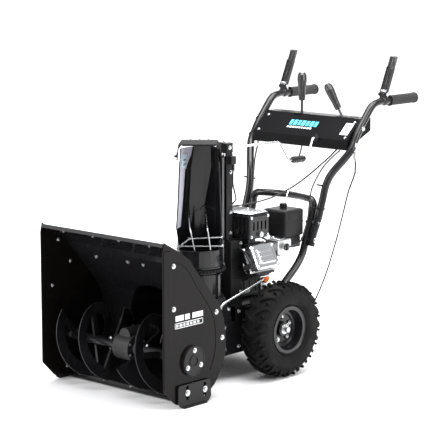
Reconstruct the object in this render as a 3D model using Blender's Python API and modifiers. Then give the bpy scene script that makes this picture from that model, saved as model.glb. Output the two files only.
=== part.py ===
"""Two-stage snowblower, rest pose. Metres, +Z up, auger mouth towards -Y,
operator's left towards +X. Origin on the ground under the middle of the box."""
import math
import bmesh
import bpy
from mathutils import Matrix, Vector

# ---- driving dimensions -------------------------------------------------
OY = -0.6900            # front rim of the housing, from the origin
HALF_W = 0.2850         # outer face of the side plates
SHEET = 0.0025          # folded steel sheet
PLATE = 0.0030          # side plates
AUGER_Y, AUGER_Z = 0.130, 0.148
AUGER_R = 0.126
IMP_Z = 0.190           # impeller shaft height
DRUM_R = 0.153
DRUM_END = 0.468
CHUTE_X, CHUTE_Y = 0.050, 0.420
CHUTE_YAW = math.radians(42.0)
POST_X, POST_Y = 0.0640, 0.5300
WHEEL_Y, WHEEL_R, WHEEL_X = 0.620, 0.165, 0.245
CRANK_Z = 0.335         # engine crankshaft height
HANDLE_X, TUBE_R = 0.235, 0.0135
GAP = 0.0003
BELT_Y = 0.540          # plane of the belt
BARREL = (-0.010, 0.320)  # the cylinder's axis starts here, in (X, Z)

for o in list(bpy.data.objects):
    bpy.data.objects.remove(o, do_unlink=True)
PARTS = bpy.data.collections.new("two_stage_snowblower")
CUTTERS = bpy.data.collections.new("cutters")
bpy.context.scene.collection.children.link(PARTS)
bpy.context.scene.collection.children.link(CUTTERS)

PALETTE = {
    "gloss_black": ((0.012, 0.012, 0.013), 0.22, 0.0),
    "satin_black": ((0.018, 0.018, 0.019), 0.45, 0.0),
    "plastic_black": ((0.016, 0.016, 0.017), 0.55, 0.0),
    "rubber": ((0.020, 0.019, 0.020), 0.80, 0.0),
    "zinc": ((0.72, 0.73, 0.74), 0.28, 1.0),
    "steel": ((0.50, 0.50, 0.51), 0.35, 1.0),
    "aluminium": ((0.66, 0.67, 0.68), 0.38, 1.0),
    "chrome": ((0.80, 0.82, 0.84), 0.12, 1.0),
    "orange": ((0.85, 0.25, 0.03), 0.40, 0.0),
    "bronze": ((0.55, 0.36, 0.14), 0.35, 1.0),
}


def material(node, key):
    colour, rough, metal = PALETTE[key]
    m = bpy.data.materials.new(node)
    m.use_nodes = True
    b = m.node_tree.nodes["Principled BSDF"]
    b.inputs["Base Color"].default_value = (*colour, 1.0)
    b.inputs["Roughness"].default_value = rough
    b.inputs["Metallic"].default_value = metal
    return m


def add(name, data, key, at=(0, 0, 0), cutter=False):
    """Link data, given in whole-machine coordinates, as an object with its origin at `at`."""
    o = bpy.data.objects.new(name, data)
    at = Vector(at)
    data.transform(Matrix.Translation(-at))
    o.location = at + Vector((0, OY, 0))
    (CUTTERS if cutter else PARTS).objects.link(o)
    if cutter:
        o.hide_render = True
        o.display_type = "WIRE"
    else:
        data.materials.append(material(name, key))
    return o


def axis_matrix(axis, at):
    turn = {"X": Matrix.Rotation(math.pi / 2, 4, "Y"), "Y": Matrix.Rotation(-math.pi / 2, 4, "X"), "Z": Matrix.Identity(4)}[axis] if isinstance(axis, str) else Vector((0, 0, 1)).rotation_difference(Vector(axis)).to_matrix().to_4x4()
    return Matrix.Translation(at) @ turn


def bm_box(bm, lo, hi, bevel=0.0, rot=None):
    lo, hi = Vector(lo), Vector(hi)
    mid, size = (lo + hi) / 2, hi - lo
    m = Matrix.Translation(mid) @ (rot if rot is not None else Matrix.Identity(4)) @ Matrix.Diagonal((*size, 1.0))
    made = bmesh.ops.create_cube(bm, size=1.0, matrix=m)
    if bevel:
        edges = list({e for v in made["verts"] for e in v.link_edges})
        bmesh.ops.bevel(bm, geom=edges, offset=bevel, segments=2, profile=0.5, affect="EDGES")


def bm_cyl(bm, axis, at, r, depth, seg=32, r2=None):
    bmesh.ops.create_cone(bm, cap_ends=True, segments=seg, radius1=r, radius2=r if r2 is None else r2, depth=depth, matrix=axis_matrix(axis, at))


def mesh_of(name, fill):
    bm = bmesh.new()
    fill(bm)
    bmesh.ops.recalc_face_normals(bm, faces=bm.faces)
    me = bpy.data.meshes.new(name)
    bm.to_mesh(me)
    bm.free()
    me.shade_smooth()
    me.set_sharp_from_angle(angle=math.radians(35))
    return me


def box(name, key, lo, hi, bevel=0.0, rot=None, at=None, cutter=False):
    return add(name, mesh_of(name, lambda bm: bm_box(bm, lo, hi, bevel, rot)), key, at if at else [(a + b) / 2 for a, b in zip(lo, hi)], cutter)


def cyl(name, key, axis, at, r, depth, seg=32, r2=None, cutter=False):
    return add(name, mesh_of(name, lambda bm: bm_cyl(bm, axis, at, r, depth, seg, r2)), key, at, cutter)


def boolean(o, cutter, how="DIFFERENCE"):
    m = o.modifiers.new(how.title() + "_" + cutter.name, "BOOLEAN")
    m.operation, m.object, m.solver = how, cutter, "EXACT"
    return o


def lathe(name, key, axis, at, profile, seg=32, cutter=False):
    """Turned shape. profile is (radius, height) pairs, and runs down the outer side from top to bottom and back up the inner side."""
    me = bpy.data.meshes.new(name)
    bm = bmesh.new()
    vs = [bm.verts.new((r, 0, h)) for r, h in profile]
    for a, b in zip(vs, vs[1:]):
        bm.edges.new((a, b))
    if profile[0][0] > 1e-6 and profile[-1][0] > 1e-6:
        bm.edges.new((vs[-1], vs[0]))
    bm.to_mesh(me)
    bm.free()
    o = bpy.data.objects.new(name, me)
    o.matrix_world = Matrix.Translation((0, OY, 0)) @ axis_matrix(axis, at)
    (CUTTERS if cutter else PARTS).objects.link(o)
    s = o.modifiers.new("Turn", "SCREW")
    s.axis, s.steps, s.render_steps, s.use_merge_vertices, s.merge_threshold = "Z", seg, seg, True, 0.00001
    s.use_smooth_shade = True
    if cutter:
        o.hide_render = True
        o.display_type = "WIRE"
    else:
        me.materials.append(material(name, key))
    return o


def smooth(points, step):
    """Points read at even steps from the smooth curve through `points`."""
    pts = [Vector(p) for p in points]
    ext = [pts[0] * 2 - pts[1]] + pts + [pts[-1] * 2 - pts[-2]]
    out = []
    for i in range(1, len(ext) - 2):
        p0, p1, p2, p3 = ext[i - 1 : i + 3]
        n = max(1, round((p2 - p1).length / step))
        for k in range(n):
            t = k / n
            out.append(0.5 * ((2 * p1) + (p2 - p0) * t + (2 * p0 - 5 * p1 + 4 * p2 - p3) * t * t + (3 * p1 - p0 - 3 * p2 + p3) * t ** 3))
    return out + [pts[-1]]


def rounded(points, radius, seg=4):
    """The polyline with each inner corner replaced by an arc-like bend."""
    pts = [Vector(p) for p in points]
    out = [pts[0]]
    for a, b, c in zip(pts, pts[1:], pts[2:]):
        r = min(radius, (a - b).length * 0.45, (c - b).length * 0.45)
        s, e = b + (a - b).normalized() * r, b + (c - b).normalized() * r
        for k in range(seg + 1):
            t = k / seg
            out.append(s * (1 - t) ** 2 + b * 2 * t * (1 - t) + e * t * t)
    return out + [pts[-1]]


def tube(name, key, points, r, at=None, res=2, cyclic=False):
    cu = bpy.data.curves.new(name, "CURVE")
    cu.dimensions = "3D"
    sp = cu.splines.new("POLY")
    sp.points.add(len(points) - 1)
    for p, q in zip(sp.points, points):
        p.co = (*q, 1.0)
    sp.use_cyclic_u = cyclic
    sp.use_smooth = True
    cu.bevel_depth, cu.bevel_resolution, cu.use_fill_caps = r, res, True
    cu.resolution_u = 1
    return add(name, cu, key, at if at else points[0])


def as_mesh(o):
    """Curve object to mesh, caps welded, so that it can take a Boolean."""
    bpy.context.view_layer.update()
    me = bpy.data.meshes.new_from_object(o.evaluated_get(bpy.context.evaluated_depsgraph_get()))
    bm = bmesh.new()
    bm.from_mesh(me)
    bmesh.ops.remove_doubles(bm, verts=bm.verts, dist=0.00001)
    bm.to_mesh(me)
    bm.free()
    n = bpy.data.objects.new("m_" + o.name, me)
    n.matrix_world = o.matrix_world.copy()
    for c in o.users_collection:
        c.objects.link(n)
    name = o.name
    n.hide_render, n.display_type = o.hide_render, o.display_type
    bpy.data.objects.remove(o, do_unlink=True)
    n.name = name
    return n


def plate(name, key, outline, thick, frame, holes=(), at=None, cutter=False):
    """Flat plate: outline in (u, v), frame maps u, v, w to the machine."""
    cu = bpy.data.curves.new(name, "CURVE")
    cu.dimensions, cu.fill_mode, cu.extrude = "2D", "BOTH", thick / 2
    for ring in [outline, *holes]:
        sp = cu.splines.new("POLY")
        sp.points.add(len(ring) - 1)
        for p, q in zip(sp.points, ring):
            p.co = (q[0], q[1], 0, 1)
        sp.use_cyclic_u = True
    o = bpy.data.objects.new(name, cu)
    o.matrix_world = Matrix.Translation((0, OY, 0)) @ frame
    (CUTTERS if cutter else PARTS).objects.link(o)
    if cutter:
        o.hide_render, o.display_type = True, "WIRE"
    else:
        cu.materials.append(material(name, key))
    return o


def yz_frame(x):
    """u along +Y, v along +Z, w along +X."""
    return Matrix(((0, 0, 1, x), (1, 0, 0, 0), (0, 1, 0, 0), (0, 0, 0, 1)))


def ring2d(cx, cy, r, n=24):
    return [(cx + r * math.cos(2 * math.pi * i / n), cy + r * math.sin(2 * math.pi * i / n)) for i in range(n)]


def slot2d(cx, c0, c1, r, n=6):
    top = [(cx + r * math.cos(math.pi * i / n), c1 + r * math.sin(math.pi * i / n)) for i in range(n + 1)]
    low = [(cx - r * math.cos(math.pi * i / n), c0 - r * math.sin(math.pi * i / n)) for i in range(n + 1)]
    return top + low


def prism(name, outline, x0, x1, cutter=True, key=None):
    """Solid from a (Y, Z) outline between two X planes."""
    def fill(bm):
        f = bm.faces.new([bm.verts.new((x0, y, z)) for y, z in outline])
        g = bmesh.ops.extrude_face_region(bm, geom=[f])
        bmesh.ops.translate(bm, verts=[v for v in g["geom"] if isinstance(v, bmesh.types.BMVert)], vec=(x1 - x0, 0, 0))
    return add(name, mesh_of(name, fill), key, (0, 0, 0), cutter)


def offset(points, d):
    """Open (Y, Z) polyline moved by d to its left side."""
    out = []
    n = len(points)
    for i in range(n):
        a = Vector(points[max(i - 1, 0)])
        b = Vector(points[i])
        c = Vector(points[min(i + 1, n - 1)])
        t1 = (b - a).normalized() if i else (c - b).normalized()
        t2 = (c - b).normalized() if i < n - 1 else t1
        n1, n2 = Vector((-t1.y, t1.x)), Vector((-t2.y, t2.x))
        m = (n1 + n2).normalized()
        out.append(tuple(b + m * d / max(0.3, m.dot(n1))))
    return out


# ---- auger housing: sheet wrap, impeller drum and chute collar, welded ------
WRAP = [(0.000, 0.5477), (0.066, 0.512), (0.124, 0.474), (0.137, 0.4525), (0.262, 0.308), (0.281, 0.260), (0.290, 0.205), (0.290, 0.150), (0.271, 0.100), (0.237, 0.056), (0.190, 0.028), (0.135, 0.0150)]
inner = offset(WRAP, -SHEET)
first = tuple(Vector(inner[0]) + (Vector(inner[0]) - Vector(inner[1])) * 1.5)
last = tuple(Vector(inner[-1]) + (Vector(inner[-1]) - Vector(inner[-2])) * 1.5)
housing = prism("auger_housing", WRAP, -HALF_W + PLATE + GAP, HALF_W - PLATE - GAP, cutter=False, key="gloss_black")
boolean(housing, cyl("drum_outer", None, "Y", (0, 0.33, IMP_Z), DRUM_R, 2 * (DRUM_END - 0.33), 40, cutter=True), "UNION")
boolean(housing, cyl("collar_outer", None, "Z", (CHUTE_X, CHUTE_Y, 0.3175), 0.0745, 0.1110, 32, cutter=True), "UNION")
boolean(housing, box("shaft_tunnel_seat", None, (-0.045, DRUM_END - 0.004, IMP_Z - 0.045), (0.045, DRUM_END + 0.004, IMP_Z + 0.045), cutter=True), "UNION")
boolean(housing, prism("housing_inside", inner + [last, (-0.2, -0.1), (-0.2, 0.75), first], -0.30, 0.30))
boolean(housing, cyl("drum_inside", None, "Y", (0, 0.275, IMP_Z), DRUM_R - SHEET, 2 * (DRUM_END - SHEET - 0.275), 40, cutter=True))
boolean(housing, cyl("collar_inside", None, "Z", (CHUTE_X, CHUTE_Y, 0.3400), 0.0720, 0.1500, 32, cutter=True))
boolean(housing, cyl("drum_shaft_hole", None, "Y", (0, 0.48, IMP_Z), 0.0130, 0.10, 20, cutter=True))
boolean(housing, box("top_lip", None, (-HALF_W + PLATE + GAP, 0.0015, 0.5345), (HALF_W - PLATE - GAP, 0.0095, 0.5455), cutter=True), "UNION")

# side plates
SIDE = [(0.000, 0.071), (0.000, 0.524), (0.006, 0.5500), (0.068, 0.5155), (0.127, 0.4770), (0.140, 0.4550), (0.266, 0.3100), (0.285, 0.2610), (0.294, 0.2050), (0.294, 0.1480), (0.275, 0.0970), (0.241, 0.0520), (0.214, 0.0300), (0.150, 0.0105), (0.060, 0.0145), (0.049, 0.0220)]
for side, s in (("left", 1), ("right", -1)):
    p = as_mesh(plate("side_plate_" + side, "gloss_black", SIDE, PLATE, yz_frame(s * (HALF_W - PLATE / 2)), holes=[ring2d(AUGER_Y, AUGER_Z, 0.0110, 16)]))
    lo, hi = sorted((s * (HALF_W - 0.001), s * (HALF_W + 0.0032)))
    boolean(p, box("rim_strip_" + side, None, (lo, 0.0010, 0.073), (hi, 0.0340, 0.521), 0.0012, cutter=True), "UNION")

# scraper bar and skid shoes
box("scraper_bar", "satin_black", (-0.2800, 0.1180, 0.0040), (0.2800, 0.1560, 0.0095), 0.0008)
for side, s in (("left", 1), ("right", -1)):
    x = s * (HALF_W + 0.0032 + 0.0025 + GAP)
    shoe = [(0.060, 0.020), (0.060, 0.070), (0.066, 0.0765), (0.204, 0.0765), (0.211, 0.070), (0.214, 0.018), (0.205, 0.0050), (0.190, 0.0), (0.083, 0.0), (0.070, 0.0060)]
    sh = as_mesh(plate("skid_shoe_" + side, "satin_black", shoe, 0.0045, yz_frame(x), holes=[slot2d(0.102, 0.030, 0.066, 0.0060), slot2d(0.184, 0.028, 0.064, 0.0060)]))
    a, b = sorted((s * (HALF_W + 0.0034), s * (HALF_W + 0.0145)))
    boolean(sh, box("shoe_foot_" + side, None, (a, 0.083, 0.0), (b, 0.191, 0.0042), cutter=True), "UNION")
    a, b = sorted((s * (HALF_W + GAP), s * (HALF_W + 0.0095)))
    c = cyl("auger_bearing_" + side, "satin_black", "X", ((a + b) / 2, AUGER_Y + 0.003, AUGER_Z), 0.0500, b - a, 36)
    boolean(c, cyl("bearing_recess_" + side, None, "X", (s * (HALF_W + 0.001), AUGER_Y, AUGER_Z), 0.0112, 0.0072, 20, cutter=True))

# ---- auger: shaft with two ribbon flights, and its gearbox --------------------
cyl("auger_shaft", "steel", "X", (0, AUGER_Y, AUGER_Z), 0.0100, 0.5760, 20)


def flight(bm, x0, x1, turns, start, r0, r1, half, per=22):
    n = max(8, int(per * abs(turns)))
    rings = []
    for i in range(n + 1):
        t = i / n
        a, x = start + 2 * math.pi * turns * t, x0 + (x1 - x0) * t
        c, s = math.cos(a), math.sin(a)
        rings.append([bm.verts.new((x + w, AUGER_Y + r * c, AUGER_Z + r * s)) for r, w in ((r0, -half), (r1, -half), (r1, half), (r0, half))])
    for a, b in zip(rings, rings[1:]):
        for k in range(4):
            bm.faces.new((a[k], a[(k + 1) % 4], b[(k + 1) % 4], b[k]))
    bm.faces.new(rings[0])
    bm.faces.new(rings[-1][::-1])


for side, s in (("left", 1), ("right", -1)):
    o = lathe("auger_" + side, "gloss_black", "X", (0, AUGER_Y, AUGER_Z), [(0.0165, 0.262 if s > 0 else -0.046), (0.0165, 0.046 if s > 0 else -0.262), (0.0103, 0.046 if s > 0 else -0.262), (0.0103, 0.262 if s > 0 else -0.046)], 20)
    for k, start in enumerate((0.35, 0.35 + math.pi)):
        start += 0.9 if s < 0 else 0.0
        f = add(f"flight_{side}_{k}", mesh_of("f", lambda bm: flight(bm, s * 0.062, s * 0.246, s * 0.85, start, 0.088, AUGER_R, 0.0014)), None, (0, AUGER_Y, AUGER_Z), True)
        boolean(o, f, "UNION")
        for j, t in enumerate((0.03, 0.5, 0.97)):
            a = start + 2 * math.pi * s * 0.85 * t
            x = s * (0.062 + 0.184 * t)
            mid = (x, AUGER_Y + 0.053 * math.cos(a), AUGER_Z + 0.053 * math.sin(a))
            b = box(f"arm_{side}_{k}_{j}", None, (x - 0.0045, mid[1] - 0.0105, mid[2] - 0.0390), (x + 0.0045, mid[1] + 0.0105, mid[2] + 0.0390), rot=Matrix.Rotation(a - math.pi / 2, 4, "X"), cutter=True)
            boolean(o, b, "UNION")

gear = cyl("auger_gearbox", "satin_black", "X", (0, AUGER_Y, AUGER_Z), 0.0440, 0.0720, 32)
boolean(gear, cyl("gb_neck", None, "Y", (0, 0.165, IMP_Z), 0.0250, 0.1100, 24, cutter=True), "UNION")
boolean(gear, cyl("gb_hollow", None, "X", (0, AUGER_Y, AUGER_Z), 0.0380, 0.0560, 32, cutter=True))
boolean(gear, cyl("gb_neck_hollow", None, "Y", (0, 0.160, IMP_Z), 0.0175, 0.0900, 24, cutter=True))
boolean(gear, cyl("gb_bore_x", None, "X", (0, AUGER_Y, AUGER_Z), 0.0103, 0.0900, 20, cutter=True))
boolean(gear, cyl("gb_bore_y", None, "Y", (0, 0.215, IMP_Z), 0.0103, 0.0600, 20, cutter=True))


def gear_ring(teeth, r_root, r_tip, bore=None):
    out = []
    for i in range(teeth):
        for k, r in ((0.0, r_root), (0.25, r_root), (0.45, r_tip), (0.80, r_tip)):
            a = 2 * math.pi * (i + k) / teeth
            out.append((r * math.cos(a), r * math.sin(a)))
    return out


plate("worm_wheel", "bronze", [(AUGER_Y + u, AUGER_Z + v) for u, v in gear_ring(20, 0.0265, 0.0300)], 0.0140, yz_frame(0), holes=[ring2d(AUGER_Y, AUGER_Z, 0.0103, 20)])

# ---- impeller -----------------------------------------------------------------
imp_shaft = cyl("impeller_shaft", "steel", "Y", (0, 0.3430, IMP_Z), 0.0100, 0.4300, 20)
boolean(imp_shaft, cyl("worm_thread", None, "Y", (0, 0.136, IMP_Z), 0.0112, 0.0200, 20, cutter=True), "UNION")
imp = lathe("impeller", "gloss_black", "Y", (0, 0, IMP_Z), [(0.0200, 0.440), (0.0200, 0.330), (0.0103, 0.330), (0.0103, 0.440)], 24)
for k in range(4):
    a = math.radians(28 + 90 * k)
    c = Vector((0.0785 * math.cos(a), 0.390, IMP_Z + 0.0785 * math.sin(a)))
    boolean(imp, box(f"blade_{k}", None, c - Vector((0.062, 0.040, 0.0018)), c + Vector((0.062, 0.040, 0.0018)), rot=Matrix.Rotation(-a, 4, "Y"), cutter=True), "UNION")
    t = Vector((0.1370 * math.cos(a) - 0.008 * math.sin(a), 0.390, IMP_Z + 0.1370 * math.sin(a) + 0.008 * math.cos(a)))
    boolean(imp, box(f"paddle_{k}", None, t - Vector((0.0018, 0.040, 0.011)), t + Vector((0.0018, 0.040, 0.011)), rot=Matrix.Rotation(-a, 4, "Y"), cutter=True), "UNION")
lathe("impeller_bearing", "steel", "Y", (0, 0, IMP_Z), [(0.0300, 0.4810), (0.0300, 0.4723), (0.0101, 0.4723), (0.0101, 0.4810)], 28)
lathe("impeller_pulley", "aluminium", "Y", (0, BELT_Y, IMP_Z), [(0.0620, 0.0080), (0.0620, 0.0046), (0.0515, 0.0041), (0.0515, -0.0041), (0.0620, -0.0046), (0.0620, -0.0080), (0.0103, -0.0080), (0.0103, 0.0080)], 32)
lathe("engine_pulley", "aluminium", "Y", (-0.010, BELT_Y, CRANK_Z), [(0.0, 0.0330), (0.0100, 0.0330), (0.0100, 0.0080), (0.0320, 0.0080), (0.0320, 0.0046), (0.0234, 0.0041), (0.0234, -0.0041), (0.0320, -0.0046), (0.0320, -0.0080), (0.0100, -0.0080), (0.0100, -0.0150), (0.0, -0.0150)], 28)

# drive belt: closed loop around both pulleys
d = Vector((-0.010, CRANK_Z - IMP_Z))
gap_c, r1, r2 = d.length, 0.0560, 0.0278
base = math.atan2(d.y, d.x)
phi = math.acos((r1 - r2) / gap_c)
loop = []
for i in range(15):
    a = base + phi + (2 * math.pi - 2 * phi) * i / 14
    loop.append((r1 * math.cos(a), BELT_Y, IMP_Z + r1 * math.sin(a)))
for i in range(9):
    a = base - phi + 2 * phi * i / 8
    loop.append((-0.010 + r2 * math.cos(a), BELT_Y, CRANK_Z + r2 * math.sin(a)))
tube("drive_belt", "rubber", loop, 0.0034, res=1, cyclic=True)

cover = box("belt_cover", "plastic_black", (-0.098, 0.5115, 0.1250), (0.112, 0.5700, 0.4660), 0.003)
boolean(cover, box("pinion_notch", None, (0.0440, 0.4900, 0.3660), (0.0840, 0.5460, 0.5000), cutter=True))
inside = box("belt_cover_inside", None, (-0.0955, 0.5140, 0.1275), (0.1095, 0.5900, 0.4635), cutter=True)
boolean(inside, box("pinion_notch_wall", None, (0.0415, 0.4900, 0.3635), (0.0865, 0.5485, 0.5000), cutter=True))
boolean(cover, inside)
boolean(cover, cyl("belt_cover_hole", None, "Y", (0, 0.51, IMP_Z), 0.0120, 0.03, 20, cutter=True))

# ---- discharge chute ------------------------------------------------------------
yaw = Matrix.Rotation(CHUTE_YAW, 4, "Z")
CH = Matrix.Translation((CHUTE_X, CHUTE_Y, 0)) @ yaw      # local: x across, -y is the open side


def ch(u, v, z):
    return CH @ Vector((u, -v, z))


def resample(pts, n):
    seg = [(Vector(b) - Vector(a)).length for a, b in zip(pts, pts[1:])]
    total, out, i, acc = sum(seg), [], 0, 0.0
    for k in range(n):
        d = total * k / (n - 1)
        while i < len(seg) - 1 and acc + seg[i] < d:
            acc += seg[i]
            i += 1
        t = min(1.0, (d - acc) / seg[i])
        out.append(Vector(pts[i]).lerp(Vector(pts[i + 1]), t))
    return out


CHUTE_ROWS = [  # z and the section from the left front edge to the right one, in (across, forward)
    (0.5200, [(-0.0770, 0.0330), (-0.0640, -0.0200), (-0.0250, -0.0660), (0.0150, -0.0690), (0.0600, -0.0300), (0.0750, 0.0330)]),
    (0.5900, [(-0.0720, 0.0400), (-0.0570, -0.0250), (-0.0480, -0.0550), (0.0170, -0.0690), (0.0580, -0.0300), (0.0720, 0.0400)]),
    (0.7150, [(-0.0660, 0.0420), (-0.0500, -0.0200), (-0.0410, -0.0490), (0.0380, -0.0620), (0.0560, -0.0300), (0.0680, 0.0420)]),
    (0.7900, [(-0.0630, 0.0200), (-0.0420, -0.0200), (-0.0220, -0.0500), (0.0420, -0.0560), (0.0560, -0.0300), (0.0660, 0.0200)]),
]


def chute_sheet(bm):
    n = 24
    ringpts = [(0.0765 * math.cos(2 * math.pi * i / n), 0.0765 * math.sin(2 * math.pi * i / n)) for i in range(n)]
    low = [bm.verts.new(ch(u, -w, 0.3866)) for u, w in ringpts]
    top = [bm.verts.new(ch(u, -w, 0.4480)) for u, w in ringpts]
    for i in range(n):
        j = (i + 1) % n
        bm.faces.new((low[i], low[j], top[j], top[i]))
    # the back two thirds of the collar carries the trough; point i stands at 15 i degrees from the right, and the back is at 90
    idx = [(14 - k) % n for k in range(17)]
    row = [top[i] for i in idx]
    for z, sec in CHUTE_ROWS:
        pts = resample(sec, len(row))
        new = [bm.verts.new(ch(p[0], p[1], z)) for p in pts]
        for k in range(len(row) - 1):
            bm.faces.new((row[k], row[k + 1], new[k + 1], new[k]))
        row = new


me = mesh_of("discharge_chute", chute_sheet)
chute = add("discharge_chute", me, "gloss_black", (CHUTE_X, CHUTE_Y, 0.3866))
so = chute.modifiers.new("Sheet", "SOLIDIFY")
so.thickness, so.offset, so.use_even_offset = 0.0025, 0.0, True

ringo = plate("chute_ring_gear", "plastic_black", [(u, v) for u, v in gear_ring(44, 0.0855, 0.0895)], 0.0080, Matrix.Translation((CHUTE_X, CHUTE_Y, 0.3798)), holes=[ring2d(0, 0, 0.0660, 40)])

GUARD_R = 0.0024
tube("chute_guard_bars", "zinc", rounded([ch(0.0775, 0.0480, 0.4940), ch(-0.0340, 0.0480, 0.4880), ch(-0.0665, 0.0480, 0.4620), ch(0.0805, 0.0482, 0.4635)], 0.014, 5), GUARD_R, at=(CHUTE_X, CHUTE_Y, 0.46))
tube("chute_guard_loop", "zinc", rounded([ch(-0.0400, -0.0480, 0.5830), ch(-0.0300, 0.0532, 0.5200), ch(-0.0130, 0.0536, 0.4330), ch(0.0400, 0.0536, 0.4320), ch(0.0285, 0.0532, 0.5200), ch(0.0180, -0.0600, 0.5830)], 0.010, 5), GUARD_R, at=(CHUTE_X, CHUTE_Y, 0.50))

# deflector: roof and two cheeks, bent from one sheet
DEFL_Z = 0.762


def deflector_sheet(bm):
    rows = []
    for v, lift, drop in ((-0.0500, 0.0030, 0.030), (0.0100, 0.0060, 0.052), (0.0620, 0.0000, 0.036)):
        z = 0.8080 + lift
        sec = [(-0.0740, z - 0.0140 - drop), (-0.0700, z - 0.0140), (-0.0590, z), (0.0590, z), (0.0700, z - 0.0140), (0.0740, z - 0.0140 - drop)]
        rows.append([bm.verts.new(ch(u, v, zz)) for u, zz in sec])
    for a, b in zip(rows, rows[1:]):
        for k in range(5):
            bm.faces.new((a[k], a[k + 1], b[k + 1], b[k]))


de = add("chute_deflector", mesh_of("chute_deflector", deflector_sheet), "plastic_black", ch(0, 0, DEFL_Z))
so = de.modifiers.new("Sheet", "SOLIDIFY")
so.thickness, so.offset, so.use_even_offset = 0.0024, 0.0, True
for side, s in (("left", -1), ("right", 1)):
    ax = yaw @ Vector((1, 0, 0))
    boolean(de, cyl("deflector_knob_" + side, None, tuple(ax), ch(s * 0.0775, 0.0, DEFL_Z + 0.004), 0.0085, 0.0110, 16, cutter=True), "UNION")

# ---- chute column, its drive shaft and the crank --------------------------------
col = box("chute_column", "satin_black", (POST_X - 0.0240, POST_Y - 0.0150, 0.4700), (POST_X + 0.0240, POST_Y + 0.0160, 0.7650), 0.002)
boolean(col, box("column_channel", None, (POST_X - 0.0215, POST_Y - 0.0300, 0.4600), (POST_X + 0.0215, POST_Y + 0.0135, 0.7800), cutter=True))
boolean(col, box("cable_bracket", None, (POST_X + 0.0220, POST_Y - 0.0120, 0.7280), (POST_X + 0.0440, POST_Y + 0.0120, 0.7560), 0.002, cutter=True), "UNION")
hd = box("column_head", "plastic_black", (POST_X - 0.0250, POST_Y - 0.0160, 0.7653), (POST_X + 0.0250, POST_Y + 0.0170, 0.8000), 0.003)
boolean(hd, cyl("head_bore", None, "Z", (POST_X, POST_Y - 0.004, 0.77), 0.0060, 0.030, 16, cutter=True))
dr = cyl("chute_drive_shaft", "steel", "Z", (POST_X, POST_Y - 0.0040, 0.5735), 0.0050, 0.4070, 14)
boolean(dr, cyl("pinion", None, "Z", (POST_X, POST_Y - 0.0040, 0.3798), 0.0168, 0.0120, 24, cutter=True), "UNION")

C0, C1 = Vector((0.0560, POST_Y + 0.0173, 0.7780)), Vector((0.0830, 0.9998, 0.7750))
cdir = (C1 - C0).normalized()
k0, k3 = C0 + cdir * 0.262, C0 + cdir * (C1 - C0).length * 0.955
drop = Vector((0, 0, -0.0700))
g0, g1 = k0 + cdir * 0.050 + drop + Vector((0, 0, 0.001)), k3 - cdir * 0.030 + drop
tube("chute_crank_rod", "zinc", rounded([C0, k0, g0, g1, k3, C1 - cdir * 0.0006], 0.012, 4), 0.0040, at=C0)
gl = (g1 - g0).length
gm = lathe("chute_crank_grip", "plastic_black", tuple((g1 - g0).normalized()), g0 + (g1 - g0) * 0.5, [(0.0105, gl / 2 - 0.016), (0.0115, 0.0), (0.0105, -gl / 2 + 0.016), (0.0045, -gl / 2 + 0.016), (0.0045, gl / 2 - 0.016)], 18)

# ---- chassis, axle and wheels ------------------------------------------------------
HC, CT = 0.1570, 0.2500
ch_b = box("chassis", "gloss_black", (-HC, 0.3000, 0.0880), (HC, 0.8050, CT), 0.0)
boolean(ch_b, box("chassis_inside", None, (-HC + SHEET, 0.25, 0.0905), (HC - SHEET, 0.8025, CT - SHEET), cutter=True))
boolean(ch_b, box("chassis_nose_top", None, (-0.30, 0.20, 0.2000), (0.30, 0.4850, 0.40), cutter=True))
boolean(ch_b, box("chassis_nose_mid", None, (-HC + SHEET, 0.20, 0.05), (HC - SHEET, 0.4850, 0.40), cutter=True))
boolean(ch_b, cyl("axle_hole", None, "X", (0, WHEEL_Y, 0.165), 0.0100, 0.50, 20, cutter=True))
boolean(ch_b, box("belt_opening", None, (-0.1020, 0.5000, 0.0780), (0.1160, 0.5735, 0.40), cutter=True))
cyl("wheel_axle", "steel", "X", (0, WHEEL_Y, 0.165), 0.0095, 0.5560, 20)
for side, s in (("left", 1), ("right", -1)):
    X = s * WHEEL_X
    prof = [(0.0836, 0.0380), (0.0836, 0.0355), (0.0745, 0.0330), (0.0700, 0.0100), (0.0700, -0.0330), (0.0836, -0.0355), (0.0836, -0.0380), (0.0690, -0.0380), (0.0640, -0.0120), (0.0450, -0.0050), (0.0240, -0.0080), (0.0240, -0.0380), (0.0098, -0.0380), (0.0098, 0.0140), (0.0240, 0.0140), (0.0260, -0.0020), (0.0450, 0.0010), (0.0640, 0.0060), (0.0700, 0.0380)]
    prof = [(r, X + s * h) for r, h in prof]
    if s < 0:
        prof = prof[::-1]
    lathe("wheel_rim_" + side, "gloss_black", "X", (0, WHEEL_Y, 0.165), prof, 32)
    tp = [(0.0840, 0.0352), (0.0960, 0.0450), (0.1200, 0.0490), (0.1430, 0.0480), (0.1560, 0.0440), (0.1625, 0.0250), (0.1650, 0.0), (0.1625, -0.0250), (0.1560, -0.0440), (0.1430, -0.0480), (0.1200, -0.0490), (0.0960, -0.0450), (0.0840, -0.0352), (0.0785, -0.0300), (0.0785, 0.0300)]
    tp = [(r, X + s * h) for r, h in tp]
    if s < 0:
        tp = tp[::-1]
    lathe("tyre_" + side, "rubber", "X", (0, WHEEL_Y, 0.165), tp, 40)


# ---- engine ------------------------------------------------------------------------
eng = box("engine_block", "satin_black", (-0.0950, 0.5750, CT + GAP), (0.0750, 0.7400, 0.4300), 0.004)
boolean(eng, cyl("crank_seat", None, "Y", (-0.010, 0.5750, CRANK_Z), 0.0106, 0.0100, 20, cutter=True))
SLANT = Matrix.Rotation(-math.radians(25), 4, "Y")


def slanted(n, t, y):
    """n along the cylinder, t across it."""
    return Vector((BARREL[0] + n * 0.9063 - t * 0.4226, y, BARREL[1] + n * 0.4226 + t * 0.9063))


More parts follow.
